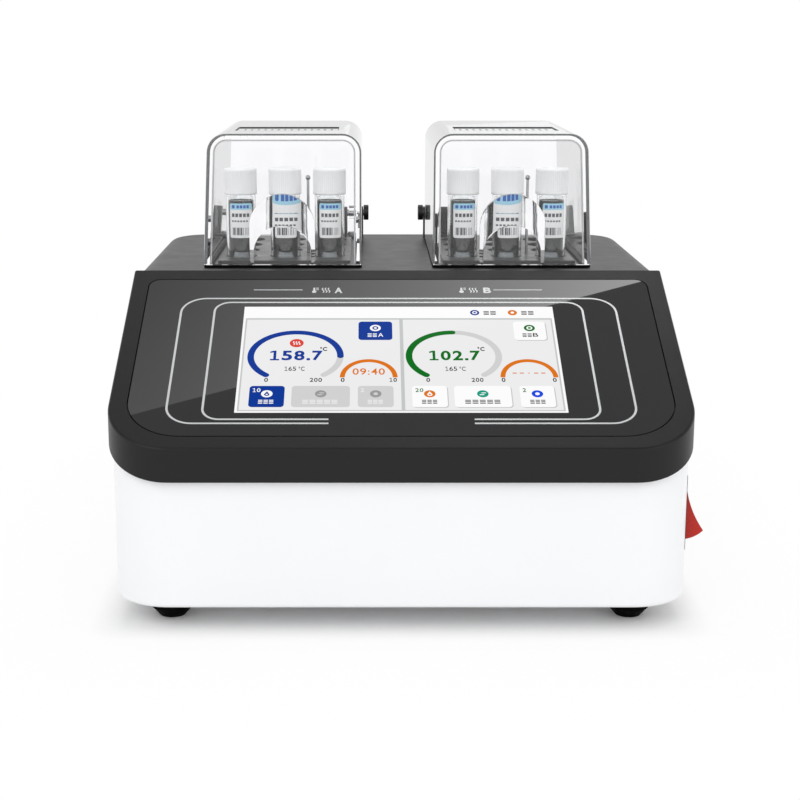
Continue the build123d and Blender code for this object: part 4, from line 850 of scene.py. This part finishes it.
class HoodEdgePaintedShade(bpy.types.Operator):
    """Paint shade onto each clear hood's cut edges: grey painted shade along its front rim, pale painted
    shade along the fold inside it and in the vent's slots, and a dark painted shadow round the vent
    """
    bl_idname = "digester.hood_edges"
    bl_label = "Hood edges"

    def execute(self, context):
        def on_front(x, z, out):
            """Point on the hood's front: across, its height, and out of its face."""
            return on_case(x, HOOD_FRONT - out, z)

        near, far = HOOD_FRONT + VENT_START, HOOD_FRONT + VENT_START + VENT_LENGTH
        pitch = (VENT_WIDTH - 2 * SLOT_MARGIN) / (SLOTS - 1)
        # Paint indices: painted shade along the rim, pale painted shade along the fold and in the slots, dark
        # painted shadow round the vent.
        rim, fold, vent = range(3)
        for zone, centre in ZONES:
            side = 1 if centre > 0 else -1
            mesh = bmesh.new()
            add_band(mesh, self.rim(side, 1.15, 1.9), self.rim(side, 0.35, 0.35), on_front, -0.9, -0.5, rim)
            add_band(mesh, self.rim(side, 4.1, 4.1), self.rim(side, 3.3, 3.3), on_front, -3.06, -3.02, fold)
            left, right = (side * VENT_MIDDLE + half for half in (-VENT_WIDTH / 2, VENT_WIDTH / 2))
            start = near + 0.5
            outer, inner = ([(left + inset, start), (left + inset, far - inset),
                             (right - inset, far - inset), (right - inset, start)] for inset in (0.02, 0.3))
            # Dark painted shadow round the vent's inner wall.
            add_band(mesh, inner, outer, on_case, HOOD_TOP - 0.98, HOOD_TOP - 0.05, vent)
            # Pale painted shade down the walls of each slot.
            for row in (-0.5, 0.5):
                y = (near + far) / 2 + row * SLOT_ROW_PITCH
                for slot in range(SLOTS):
                    x = left + SLOT_MARGIN + slot * pitch
                    halves = ((SLOT_WIDTH / 2 - inset, SLOT_LENGTH / 2 - inset) for inset in (0.02, 0.2))
                    outer, inner = (square(x - wide, y - long, x + wide, y + long) for wide, long in halves)
                    add_band(mesh, inner, outer, on_case, HOOD_TOP - 2.0, HOOD_TOP - 1.02, fold, True)
            edges = make_piece(f"hood_edges_{zone}", mesh, f"hood_{zone}",
                               ("hood_rim", "hood_fold", "vent_edge"))
            edges.visible_glossy = False
        return {"FINISHED"}

    @staticmethod
    def rim(side, inset, outer_inset):
        """Line along the hood's front outline, set in, from its inner foot over the top to its outer foot."""
        foot, top, radius = DECK_HEIGHT + 2.0, HOOD_TOP - inset, HOOD_ROUND - inset
        inner, outer = side * (HOOD_INNER + inset), side * (HOOD_OUTER - outer_inset)
        shoulder = outer - side * HOOD_LEAN
        corners = [Vector(p) for p in ((inner, foot), (inner, top), (shoulder, top), (outer, foot))]
        line = [corners[0]]
        for before, corner, after in zip(corners, corners[1:], corners[2:]):
            a, b = (before - corner).normalized(), (after - corner).normalized()
            half = a.angle(b) / 2
            middle = corner + (a + b).normalized() * (radius / sin(half))
            start, end = (corner + arm * (radius / tan(half)) - middle for arm in (a, b))
            for step in range(9):
                line.append(middle + start.lerp(end, step / 8).normalized() * radius)
        return [(p.x, p.y) for p in line + [corners[-1]]]


class PrintOutlines(bpy.types.Operator):
    """Print the two silver outlines on the panel's glass"""
    bl_idname = "digester.print_outlines"
    bl_label = "Silver outlines"

    def execute(self, context):
        sizes = context.scene.digester_sizes
        width = millimetres(sizes.line_width)
        mesh = bmesh.new()
        outlines = ((sizes.outer_half, 17.6, 119.8, 12.8), (sizes.inner_half, 20.6, 116.3, 8.4))
        for half, low, high, corner in outlines:
            half = millimetres(half)
            outer = self.open_outline(half, low, high, corner)
            inner = self.open_outline(half - width, low + width, high - width, corner - width)
            add_band(mesh, inner, outer, on_console, 0.0, print_rise(), 0)
        make_piece("panel_outlines", mesh, "case", ["silver_print"])
        return {"FINISHED"}

    @staticmethod
    def open_outline(half, low, high, corner):
        """Rounded outline that starts and ends either side of a gap in its lower side."""
        return [(PRINT_GAP, low), *rounded(-half, low, half, high, corner, 10), (-PRINT_GAP, low)]


class PrintZoneMarks(bpy.types.Operator):
    """Print each zone's mark and its line above the screen"""
    bl_idname = "digester.print_zone_marks"
    bl_label = "Zone marks"

    def execute(self, context):
        rise = print_rise()
        mesh = bmesh.new()
        middle = 127.0
        for letter, start, near in (("A", -44.2, -48.5), ("B", 30.6, 48.5)):
            far = near + (24.8 if near > 0 else -24.8)
            left, right = sorted((near, far))
            add_slab(mesh, square(left, middle - 0.3, right, middle + 0.3), on_console, 0.0, rise, 0)
            self.thermometer(mesh, start + 1.6, middle - 0.3, rise)
            for wave in range(3):
                x = start + 6.1 + wave * 1.5
                add_wave(mesh, x, middle - 2.4, 4.3, 0.45, 0.3, 12, on_console, rise, 0)
            foot = start + (12.0 if letter == "A" else 12.7)
            box = (foot, middle - 2.8, foot + 3.9, middle + 2.1)
            add_words(mesh, letter, box, on_console, 0.0, rise, 0, 0.035)
        make_piece("zone_marks", mesh, "case", ["silver_print"])
        return {"FINISHED"}

    @staticmethod
    def thermometer(mesh, x, middle, rise):
        """Small thermometer sign with a bulb, a stem and three ticks."""
        add_slab(mesh, disc(x, middle - 1.25, 1.15, 24), on_console, 0.0, rise, 0)
        stem = rounded(x - 0.5, middle - 1.2, x + 0.5, middle + 2.4, 0.48, 5)
        add_slab(mesh, stem, on_console, 0.0, rise * 0.9, 0)
        for tick in range(3):
            low = middle + 0.2 + tick * 0.85
            add_slab(mesh, square(x + 0.95, low, x + 2.3, low + 0.4), on_console, 0.0, rise, 0)


class ScreenPage(bpy.types.Operator):
    """Light the screen's page, header and the two zone panels"""
    bl_idname = "digester.screen_page"
    bl_label = "Screen page"

    def execute(self, context):
        rise = print_rise()
        names = ("screen_page", "screen_white", "screen_panel", "screen_blue", "screen_orange", "screen_ink")
        page, white, panel, blue, orange, ink = range(len(names))
        mesh = bmesh.new()
        left, right, low, high = -77.05, 77.05, 26.0, 111.9
        sheets = ((left, low, right, high, 1.0, white), (-75.9, 27.1, 75.9, 101.9, 1.3, page),
                  (-75.1, 27.9, 0.2, 100.6, 1.6, panel), (1.9, 27.9, 75.1, 100.6, 1.6, panel))
        for x0, y0, x1, y1, height, paint in sheets:
            add_slab(mesh, rounded(x0, y0, x1, y1, 0.3, 3), on_console, 0.0, rise * height, paint)
        for x, paint, kind in ((37.9, blue, "ring"), (56.7, orange, "dot")):
            add_sign(mesh, kind, x, 106.7, 2.3, on_console, rise * 2, paint, white)
            add_greeked(mesh, (x + 4.4, 104.9, x + 11.2, 108.5), 2, on_console, 0.0, rise * 2, ink)
        make_piece("screen_page", mesh, "case", names)
        return {"FINISHED"}


class ScreenGauges(bpy.types.Operator):
    """Light the temperature gauges and the timers"""
    bl_idname = "digester.screen_gauges"
    bl_label = "Screen gauges"

    def execute(self, context):
        rise = print_rise()
        names = ("screen_blue", "screen_green", "screen_grey", "screen_orange", "screen_red", "screen_white")
        blue, green, grey, orange, red, white = range(len(names))
        mesh = bmesh.new()
        radii = (23.2, 21.2)
        for x, reading, paint in ((-50.2, 0.0, blue), (26.0, 90.0, green)):
            middle = (x, 70.0)
            add_arc(mesh, middle, radii, 3.2, -50.0, reading + 4.0, on_console, 0.0, rise * 2, grey)
            add_arc(mesh, middle, radii, 3.2, reading, 231.0, on_console, 0.0, rise * 2.5, paint)
        for x in (-15.0, 61.1):
            timer = (13.7, 14.5)
            add_arc(mesh, (x, 53.0), timer, 2.35, 0.0, 180.0, on_console, 0.0, rise * 2, orange, False)
        add_slab(mesh, disc(-50.0, 80.7, 3.4), on_console, 0.0, rise * 2, red)
        for wave in range(3):
            add_wave(mesh, -51.3 + wave * 1.3, 79.3, 2.8, 0.3, 0.28, 8, on_console, rise * 2.5, white)
        make_piece("screen_gauges", mesh, "case", names)
        return {"FINISHED"}


class ScreenKeys(bpy.types.Operator):
    """Light the keys under and beside the gauges"""
    bl_idname = "digester.screen_keys"
    bl_label = "Screen keys"

    def execute(self, context):
        rise = print_rise()
        names = ("screen_blue", "screen_white", "screen_grey", "screen_page", "screen_green", "screen_orange",
                 "screen_teal", "screen_sky", "screen_ink", "screen_panel", "screen_faded")
        blue, white, grey, page, green, orange, teal, sky, ink, panel, faded = range(len(names))
        keys = (
            (-20.0, 83.3, -3.4, 98.9, blue, "ring", white, blue, white, "A"),
            (-70.9, 30.1, -54.4, 46.3, blue, "drop", white, blue, white, ""),
            (-51.1, 30.1, -23.8, 46.3, grey, "strokes", faded, grey, panel, ""),
            (-20.1, 30.1, -3.4, 46.3, grey, "dot", faded, grey, panel, ""),
            (56.3, 83.3, 72.0, 98.9, white, "ring", green, white, ink, "B"),
            (5.3, 30.1, 21.7, 46.3, white, "drop", orange, white, ink, ""),
            (25.0, 30.1, 51.6, 46.3, white, "strokes", teal, white, ink, ""),
            (55.7, 30.1, 71.9, 46.3, white, "dot", sky, white, ink, ""),
        )
        mesh = bmesh.new()
        for x0, y0, x1, y1, face, kind, sign, mark, line, letter in keys:
            middle = (x0 + x1) / 2
            if face == white:
                shadow = rounded(x0 + 0.3, y0 - 0.6, x1 + 0.5, y1 - 0.4, 1.9, 5)
                add_slab(mesh, shadow, on_console, 0.0, rise * 1.9, page)
            add_slab(mesh, rounded(x0, y0, x1, y1, 1.8, 6), on_console, 0.0, rise * 2.1, face)
            add_sign(mesh, kind, middle, y0 + 10.1, 2.7, on_console, rise * 2.5, sign, mark)
            wide, count = (8.5, 5) if x1 - x0 > 22 else (3.8, 2 if letter else 3)
            right = middle + wide - (2.6 if letter else 0.0)
            bars = (middle - wide, y0 + 2.6, right, y0 + 6.0)
            add_greeked(mesh, bars, count, on_console, 0.0, rise * 2.5, line)
            if letter:
                box = (right + 0.1, y0 + 2.7, right + 2.7, y0 + 5.8)
                add_words(mesh, letter, box, on_console, 0.0, rise * 2.5, line, 0.01)
        make_piece("screen_keys", mesh, "case", names)
        return {"FINISHED"}


class ScreenFigures(bpy.types.Operator):
    """Light the readings and the scales' figures"""
    bl_idname = "digester.screen_figures"
    bl_label = "Screen figures"

    def execute(self, context):
        rise = print_rise()
        names = ("screen_blue", "screen_green", "screen_orange", "screen_ink", "screen_white", "screen_panel")
        blue, green, orange, ink, white, panel = range(len(names))
        figures = (
            ("158.7", -50.0, 70.5, 25.6, 7.8, blue, 0.03), ("102.7", 26.3, 70.5, 24.8, 7.8, green, 0.03),
            ("\u00b0C", -36.8, 75.8, 3.4, 3.2, ink, 0.03), ("\u00b0C", 39.4, 75.8, 3.4, 3.2, ink, 0.03),
            ("165 \u00b0C", -50.4, 59.8, 9.7, 3.3, ink, 0.008),
            ("165 \u00b0C", 26.3, 59.8, 9.8, 3.3, ink, 0.008),
            ("0", -63.5, 51.0, 1.8, 3.1, ink, 0.02), ("200", -40.0, 51.0, 5.8, 3.1, ink, 0.015),
            ("0", 13.1, 51.0, 1.8, 3.1, ink, 0.02), ("200", 36.4, 51.0, 5.6, 3.1, ink, 0.015),
            ("0", -27.3, 51.0, 1.8, 3.1, ink, 0.02), ("10", -3.5, 51.0, 3.6, 3.1, ink, 0.02),
            ("0", 48.7, 51.0, 1.8, 3.1, ink, 0.02), ("0", 72.9, 51.0, 1.8, 3.1, ink, 0.02),
            ("09:40", -15.0, 57.6, 15.4, 5.0, orange, 0.01),
            ("10", -67.6, 43.0, 3.8, 2.9, white, 0.015), ("2", -18.0, 43.0, 1.7, 2.9, panel, 0.01),
            ("20", 8.7, 43.0, 3.8, 2.9, green, 0.015), ("2", 57.9, 43.0, 1.7, 2.9, green, 0.015),
        )
        mesh = bmesh.new()
        for words, x, up, width, height, paint, weight in figures:
            box = (x - width / 2, up - height / 2, x + width / 2, up + height / 2)
            add_words(mesh, words, box, on_console, 0.0, rise * 2.8, paint, weight)
        for dash in range(5):
            x = 54.3 + dash * 3.4
            half = 1.0 if dash != 2 else 0.3
            add_slab(mesh, square(x - half, 56.0, x + half, 56.7), on_console, 0.0, rise * 2.5, orange)
        make_piece("screen_figures", mesh, "case", names)
        return {"FINISHED"}


class TubeLabels(bpy.types.Operator):
    """Wrap a label round each tube, with a pale band, rules and a bar code"""
    bl_idname = "digester.tube_labels"
    bl_label = "Tube labels"

    def execute(self, context):
        sizes = context.scene.digester_sizes
        half = millimetres(sizes.label_width) / 2
        low, high = DECK_HEIGHT + millimetres(sizes.label_low), DECK_HEIGHT + millimetres(sizes.label_high)
        bars = (0.5, 0.25, 0.75, 0.25, 0.25, 0.5, 1.0, 0.25, 0.5, 0.25,
                0.75, 0.5, 0.25, 1.0, 0.25, 0.5, 0.25, 0.75, 0.25, 0.5)
        turn = millimetres(sizes.label_turn)
        white, band, sign, ink = range(4)
        for tube, x in tubes():
            place = round_tube(x, TUBE_RADIUS, turn)
            mesh = bmesh.new()
            add_sheet(mesh, (-half, low, half, high), place, 0.01, 0.07, white, 1.2)
            add_sheet(mesh, (-half, high - 3.4, half, high), place, 0.02, 0.085, band, 1.0)
            add_sheet(mesh, (-half + 1.3, high - 2.7, -half + 3.0, high - 0.9), place, 0.03, 0.1, sign, 0.5)
            for mark in range(4):
                left = -half + 4.0 + mark * 1.8
                add_sheet(mesh, (left, high - 2.6, left + 1.4, high - 1.0), place, 0.03, 0.1, sign)
            for count, width, tall, drop in ((5, 1.5, 1.9, 7.3), (6, 1.0, 0.9, 10.0)):
                foot = high - drop
                for mark in range(count):
                    left = -half + 1.3 + mark * (width + 0.55)
                    add_sheet(mesh, (left, foot, left + width, foot + tall), place, 0.02, 0.09, ink)
            left = -half + 1.7
            for i, width in enumerate(bars):
                if i % 2 == 0:
                    add_sheet(mesh, (left, low + 1.6, left + width, low + 5.6), place, 0.02, 0.09, ink)
                left += width
            make_piece(f"tube_label_{tube}", mesh, f"tube_{tube}",
                       ("label_white", "label_band", "label_mark", "label_ink"))
        return {"FINISHED"}


class TubeContents(bpy.types.Operator):
    """Fill each tube with reagent, up to its shoulder"""
    bl_idname = "digester.tube_contents"
    bl_label = "Tube contents"

    def execute(self, context):
        bottom, level = TUBE_FLOOR + 2.45, SHOULDER - 3.7
        wall = TUBE_RADIUS - TUBE_WALL - 0.05
        profile = [(0.0, bottom), (5.5, bottom), (5.55, bottom + 1.65), (wall, bottom + 1.7),
                   (wall, level + 0.5), (wall - 0.65, level), (0.0, level - 0.1)]
        for tube, x in tubes():
            mesh = bmesh.new()
            add_turned(mesh, profile, x, TUBE_ROW_Y, 48)
            make_piece(f"tube_reagent_{tube}", mesh, f"tube_{tube}", ["reagent"], True)
        return {"FINISHED"}


class TubeCaps(bpy.types.Operator):
    """Fit each tube's screw cap, with grip ribs and a raised rim"""
    bl_idname = "digester.tube_caps"
    bl_label = "Tube caps"

    def execute(self, context):
        sizes = context.scene.digester_sizes
        depth, count = millimetres(sizes.rib_depth), sizes.rib_count
        top = SHOULDER + CAP_HEIGHT
        bore = NECK_RADIUS + 0.1
        low_band, high_band = SHOULDER + 1.6, top - 1.5

        def ribbed(radius, angle, height):
            """Grooves between the two plain bands of the wall."""
            if radius < CAP_RADIUS - 0.9 or not low_band < height < high_band:
                return radius
            return radius - depth * (0.5 - 0.5 * cos(count * angle)) ** 2

        roof = SHOULDER + NECK_HEIGHT + 0.1
        inner = [(0.0, roof), (bore, roof), (bore, SHOULDER + 0.3), (bore + 0.3, SHOULDER)]
        wall = [(0.3, SHOULDER), (0.0, SHOULDER + 0.3), (0.0, low_band - 0.3), (0.0, low_band + 0.4),
                (0.0, high_band - 0.4), (0.0, high_band + 0.2), (0.08, top - 0.6), (0.3, top - 0.25),
                (0.7, top), (1.6, top), (1.9, top - 0.3)]
        profile = [*inner, *((CAP_RADIUS - inset, height) for inset, height in wall), (0.0, top - 0.3)]
        for tube, x in tubes():
            mesh = bmesh.new()
            add_turned(mesh, profile, x, TUBE_ROW_Y, 4 * count, ribbed)
            cap = make_piece(f"tube_screw_cap_{tube}", mesh, f"tube_{tube}",
                             ["cap_plastic"], True)
            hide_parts(f"tube_cap_{tube}")
        return {"FINISHED"}


class RockerMarks(bpy.types.Operator):
    """Mould the bar and the ring into the power switch"""
    bl_idname = "digester.rocker_marks"
    bl_label = "Rocker marks"

    def execute(self, context):
        pivot_x, pivot_z, middle_y = 133.4, 48.7, -105.0
        radius, half_angle, tilt, dish = 14.25, radians(64.4), radians(20.4), 1.7
        half_chord = radius * sin(half_angle)
        sweep = (half_chord ** 2 + dish ** 2) / (2 * dish)
        centre = radius * cos(half_angle) - dish + sweep

        def on_rocker(across, up, out):
            """Point on the switch's hollow face."""
            turn = up / sweep
            reach = sweep - out
            x, z = centre - reach * cos(turn), reach * sin(turn)
            return on_case(pivot_x + x * cos(tilt) - z * sin(tilt), middle_y + across,
                           pivot_z + x * sin(tilt) + z * cos(tilt))

        mesh = bmesh.new()
        add_slab(mesh, rounded(-0.5, 4.4, 0.5, 9.0, 0.45, 4), on_rocker, -0.05, 0.1, 0)
        ring = [disc(0.0, -6.6, r, 40) for r in (1.7, 2.5)]
        add_band(mesh, ring[0], ring[1], on_rocker, -0.05, 0.1, 0, True)
        make_piece("rocker_marks", mesh, "switch_rocker", ["mark_white"])
        return {"FINISHED"}


class BuildStage(bpy.types.Operator):
    """Set the floor, the soft lamps, the world and the camera"""
    bl_idname = "digester.build_stage"
    bl_label = "Stage"

    def execute(self, context):
        scene = context.scene
        scene.view_settings.view_transform = "Standard"
        self.build_floor()
        self.build_world(scene)
        self.add_lamp("lamp_key", (-0.9, -1.3, 1.5), (0.0, 0.0, 0.08), 1.3, 1.3, 8.0)
        self.add_lamp("lamp_fill", (1.3, -1.2, 0.9), (0.0, 0.0, 0.08), 1.2, 1.2, 4.0)
        top = self.add_lamp("lamp_top", (0.2, 0.5, 1.7), (0.0, 0.0, 0.1), 1.6, 1.6, 5.5)
        top.visible_glossy = False
        self.add_card()
        data = bpy.data.cameras.new("camera")
        data.sensor_width = 36.0
        data.lens = 74.9
        data.shift_x = 0.0421
        data.clip_end = 50.0
        camera = bpy.data.objects.new("camera", data)
        scene.collection.objects.link(camera)
        camera.location = on_case(*EYE)
        camera.rotation_euler = (radians(90 - EYE_TILT), 0.0, 0.0)
        scene.camera = camera
        return {"FINISHED"}

    @staticmethod
    def build_floor():
        """Large pale floor. It takes the shadow near the object, and is the backdrop's white further off."""
        mesh = bmesh.new()
        bmesh.ops.create_grid(mesh, x_segments=2, y_segments=2, size=12.0)
        finish, tree, shader = start_finish("floor_paper")
        where = object_space(tree)
        fibre = noise(tree, where, 400.0, 3.0, 0.6)
        two_tone(tree, shader, fibre, [0.93] * 3, 0.95 / 0.93)
        shader.inputs["Roughness"].default_value = 0.6
        shader.inputs["Specular IOR Level"].default_value = 0.2
        place = axes(tree, where)
        middle, half = (COVER_LOW + COVER_HIGH) / 2, (COVER_HIGH - COVER_LOW) / 2
        outside = []
        for axis, centre, reach in (("X", middle.x, half.x), ("Y", middle.y, half.y)):
            offset = calculate(tree, "ABSOLUTE", calculate(tree, "SUBTRACT", place[axis], centre))
            beyond = calculate(tree, "MAXIMUM", calculate(tree, "SUBTRACT", offset, reach - 0.01))
            outside.append(calculate(tree, "MULTIPLY", beyond, beyond))
        away = calculate(tree, "SQRT", calculate(tree, "ADD", outside[0], outside[1]))
        near_white = spread(tree, away, 0.003, 0.02, 0.05, 0.85)
        white = calculate(tree, "ADD", near_white, spread(tree, away, 0.02, 0.12, 0.0, 0.15))
        share = calculate(tree, "MULTIPLY", white, seen_directly(tree))
        mix_shaders(tree, share, shader, tree.nodes.new("ShaderNodeEmission"))
        floor = stage_object("floor", mesh, finish)

    @staticmethod
    def build_world(scene):
        """Even pale light, white to the camera. Mirrors see a dimmer ceiling, clear pieces dimmer sides."""
        world = bpy.data.worlds.new("studio")
        world.use_nodes = True
        tree = world.node_tree
        ground = tree.nodes["Background"]
        path = tree.nodes.new("ShaderNodeLightPath")
        towards = axes(tree, tree.nodes.new("ShaderNodeTexCoord").outputs["Generated"])
        ceiling = spread(tree, towards["Z"], 0.4, 0.75, 1.0, 0.45)
        mirrored = spread(tree, path.outputs["Is Glossy Ray"], 0.0, 1.0, 0.75, ceiling)
        sides = spread(tree, calculate(tree, "ABSOLUTE", towards["X"]), 0.3, 0.7, 1.0, 0.2)
        under_glass = spread(tree, path.outputs["Diffuse Depth"], 0.0, 1.0, sides, 1.0)
        refracted = spread(tree, path.outputs["Is Transmission Ray"], 0.0, 1.0, mirrored, under_glass)
        strength = spread(tree, path.outputs["Is Camera Ray"], 0.0, 1.0, refracted, 1.0)
        tree.links.new(strength, ground.inputs["Strength"])
        ground.inputs["Color"].default_value = (1.0, 1.0, 1.0, 1.0)
        scene.world = world

    @staticmethod
    def add_lamp(name, place, target, width, height, power):
        """Area lamp that faces a target."""
        data = bpy.data.lights.new(name, "AREA")
        data.shape = "RECTANGLE"
        data.size, data.size_y = width, height
        data.energy = power
        lamp = bpy.data.objects.new(name, data)
        bpy.context.scene.collection.objects.link(lamp)
        lamp.location = place
        lamp.rotation_euler = (Vector(target) - Vector(place)).to_track_quat("-Z", "Y").to_euler()
        return lamp

    @staticmethod
    def add_card():
        """Reflector card over the rear, for mirrors only. Its edge is a slanting sheen over the glass."""
        edge = []
        eye = on_case(*EYE)
        normal = Vector((0.0, -sin(SLOPE), cos(SLOPE)))
        for x, up in SHEEN_ENDS:
            point = on_console(x, up, 0.0)
            ray = (point - eye).normalized()
            ray = ray - 2 * ray.dot(normal) * normal
            edge.append(point + ray * ((CARD_HEIGHT - point.z) / ray.z))
        along = (edge[1] - edge[0]).normalized()
        across = Vector((-along.y, along.x, 0.0))
        length = (edge[1] - edge[0]).length
        mesh = bmesh.new()
        spots = square(-0.4, 0.0, length + 0.2, 0.6)
        mesh.faces.new([mesh.verts.new((u, v, 0.0)) for u, v in spots])
        finish, tree, shader = start_finish("card_glow")
        place = axes(tree, object_space(tree))
        glow = tree.nodes.new("ShaderNodeEmission")
        rightwards = calculate(tree, "POWER", spread(tree, place["X"], 0.0, length, 0.0, 1.0), 1.5)
        near = calculate(tree, "ADD", calculate(tree, "MULTIPLY", rightwards, 3.2), 1.1)
        fading = spread(tree, place["Y"], 0.0, 0.2, 1.0, 0.55)
        tree.links.new(calculate(tree, "MULTIPLY", near, fading), glow.inputs["Strength"])
        tree.links.new(glow.outputs[0], tree.nodes["Material Output"].inputs["Surface"])
        tree.nodes.remove(shader)
        card = stage_object("reflector_card", mesh, finish)
        turned = Matrix((along, across, (0.0, 0.0, 1.0))).transposed().to_4x4()
        card.matrix_world = Matrix.Translation(edge[0]) @ turned
        card.visible_camera = card.visible_diffuse = card.visible_transmission = card.visible_shadow = False


PIECE_OPERATORS = (
    DressCase, DressInside, DressZones, HoodEdgePaintedShade, PrintOutlines, PrintZoneMarks, ScreenPage, ScreenGauges,
    ScreenKeys, ScreenFigures, TubeLabels, TubeContents, TubeCaps, RockerMarks, BuildStage)


class DigesterPanel(bpy.types.Panel):
    """Settings and pieces of the digester"""
    bl_idname = "VIEW3D_PT_digester"
    bl_label = "Tube Digester"
    bl_space_type = "VIEW_3D"
    bl_region_type = "UI"
    bl_category = "Digester"

    def draw(self, context):
        for settings in (context.scene.digester_sizes, context.scene.digester_colours):
            box = self.layout.box()
            for name in settings.__annotations__:
                box.prop(settings, name)
        for operator in PIECE_OPERATORS:
            self.layout.operator(operator.bl_idname)


CLASSES = (DigesterColours, DigesterSizes, *PIECE_OPERATORS, DigesterPanel)


def register():
    """Register the classes and hang the settings on the scene."""
    for each in CLASSES:
        bpy.utils.register_class(each)
    bpy.types.Scene.digester_colours = bpy.props.PointerProperty(type=DigesterColours)
    bpy.types.Scene.digester_sizes = bpy.props.PointerProperty(type=DigesterSizes)


def unregister():
    """Undo register."""
    del bpy.types.Scene.digester_sizes
    del bpy.types.Scene.digester_colours
    for each in reversed(CLASSES):
        bpy.utils.unregister_class(each)


def main():
    """Register the classes and build every piece."""
    register()
    for operator in PIECE_OPERATORS:
        category, name = operator.bl_idname.split(".")
        getattr(getattr(bpy.ops, category), name)()


if __name__ == "__main__":
    main()
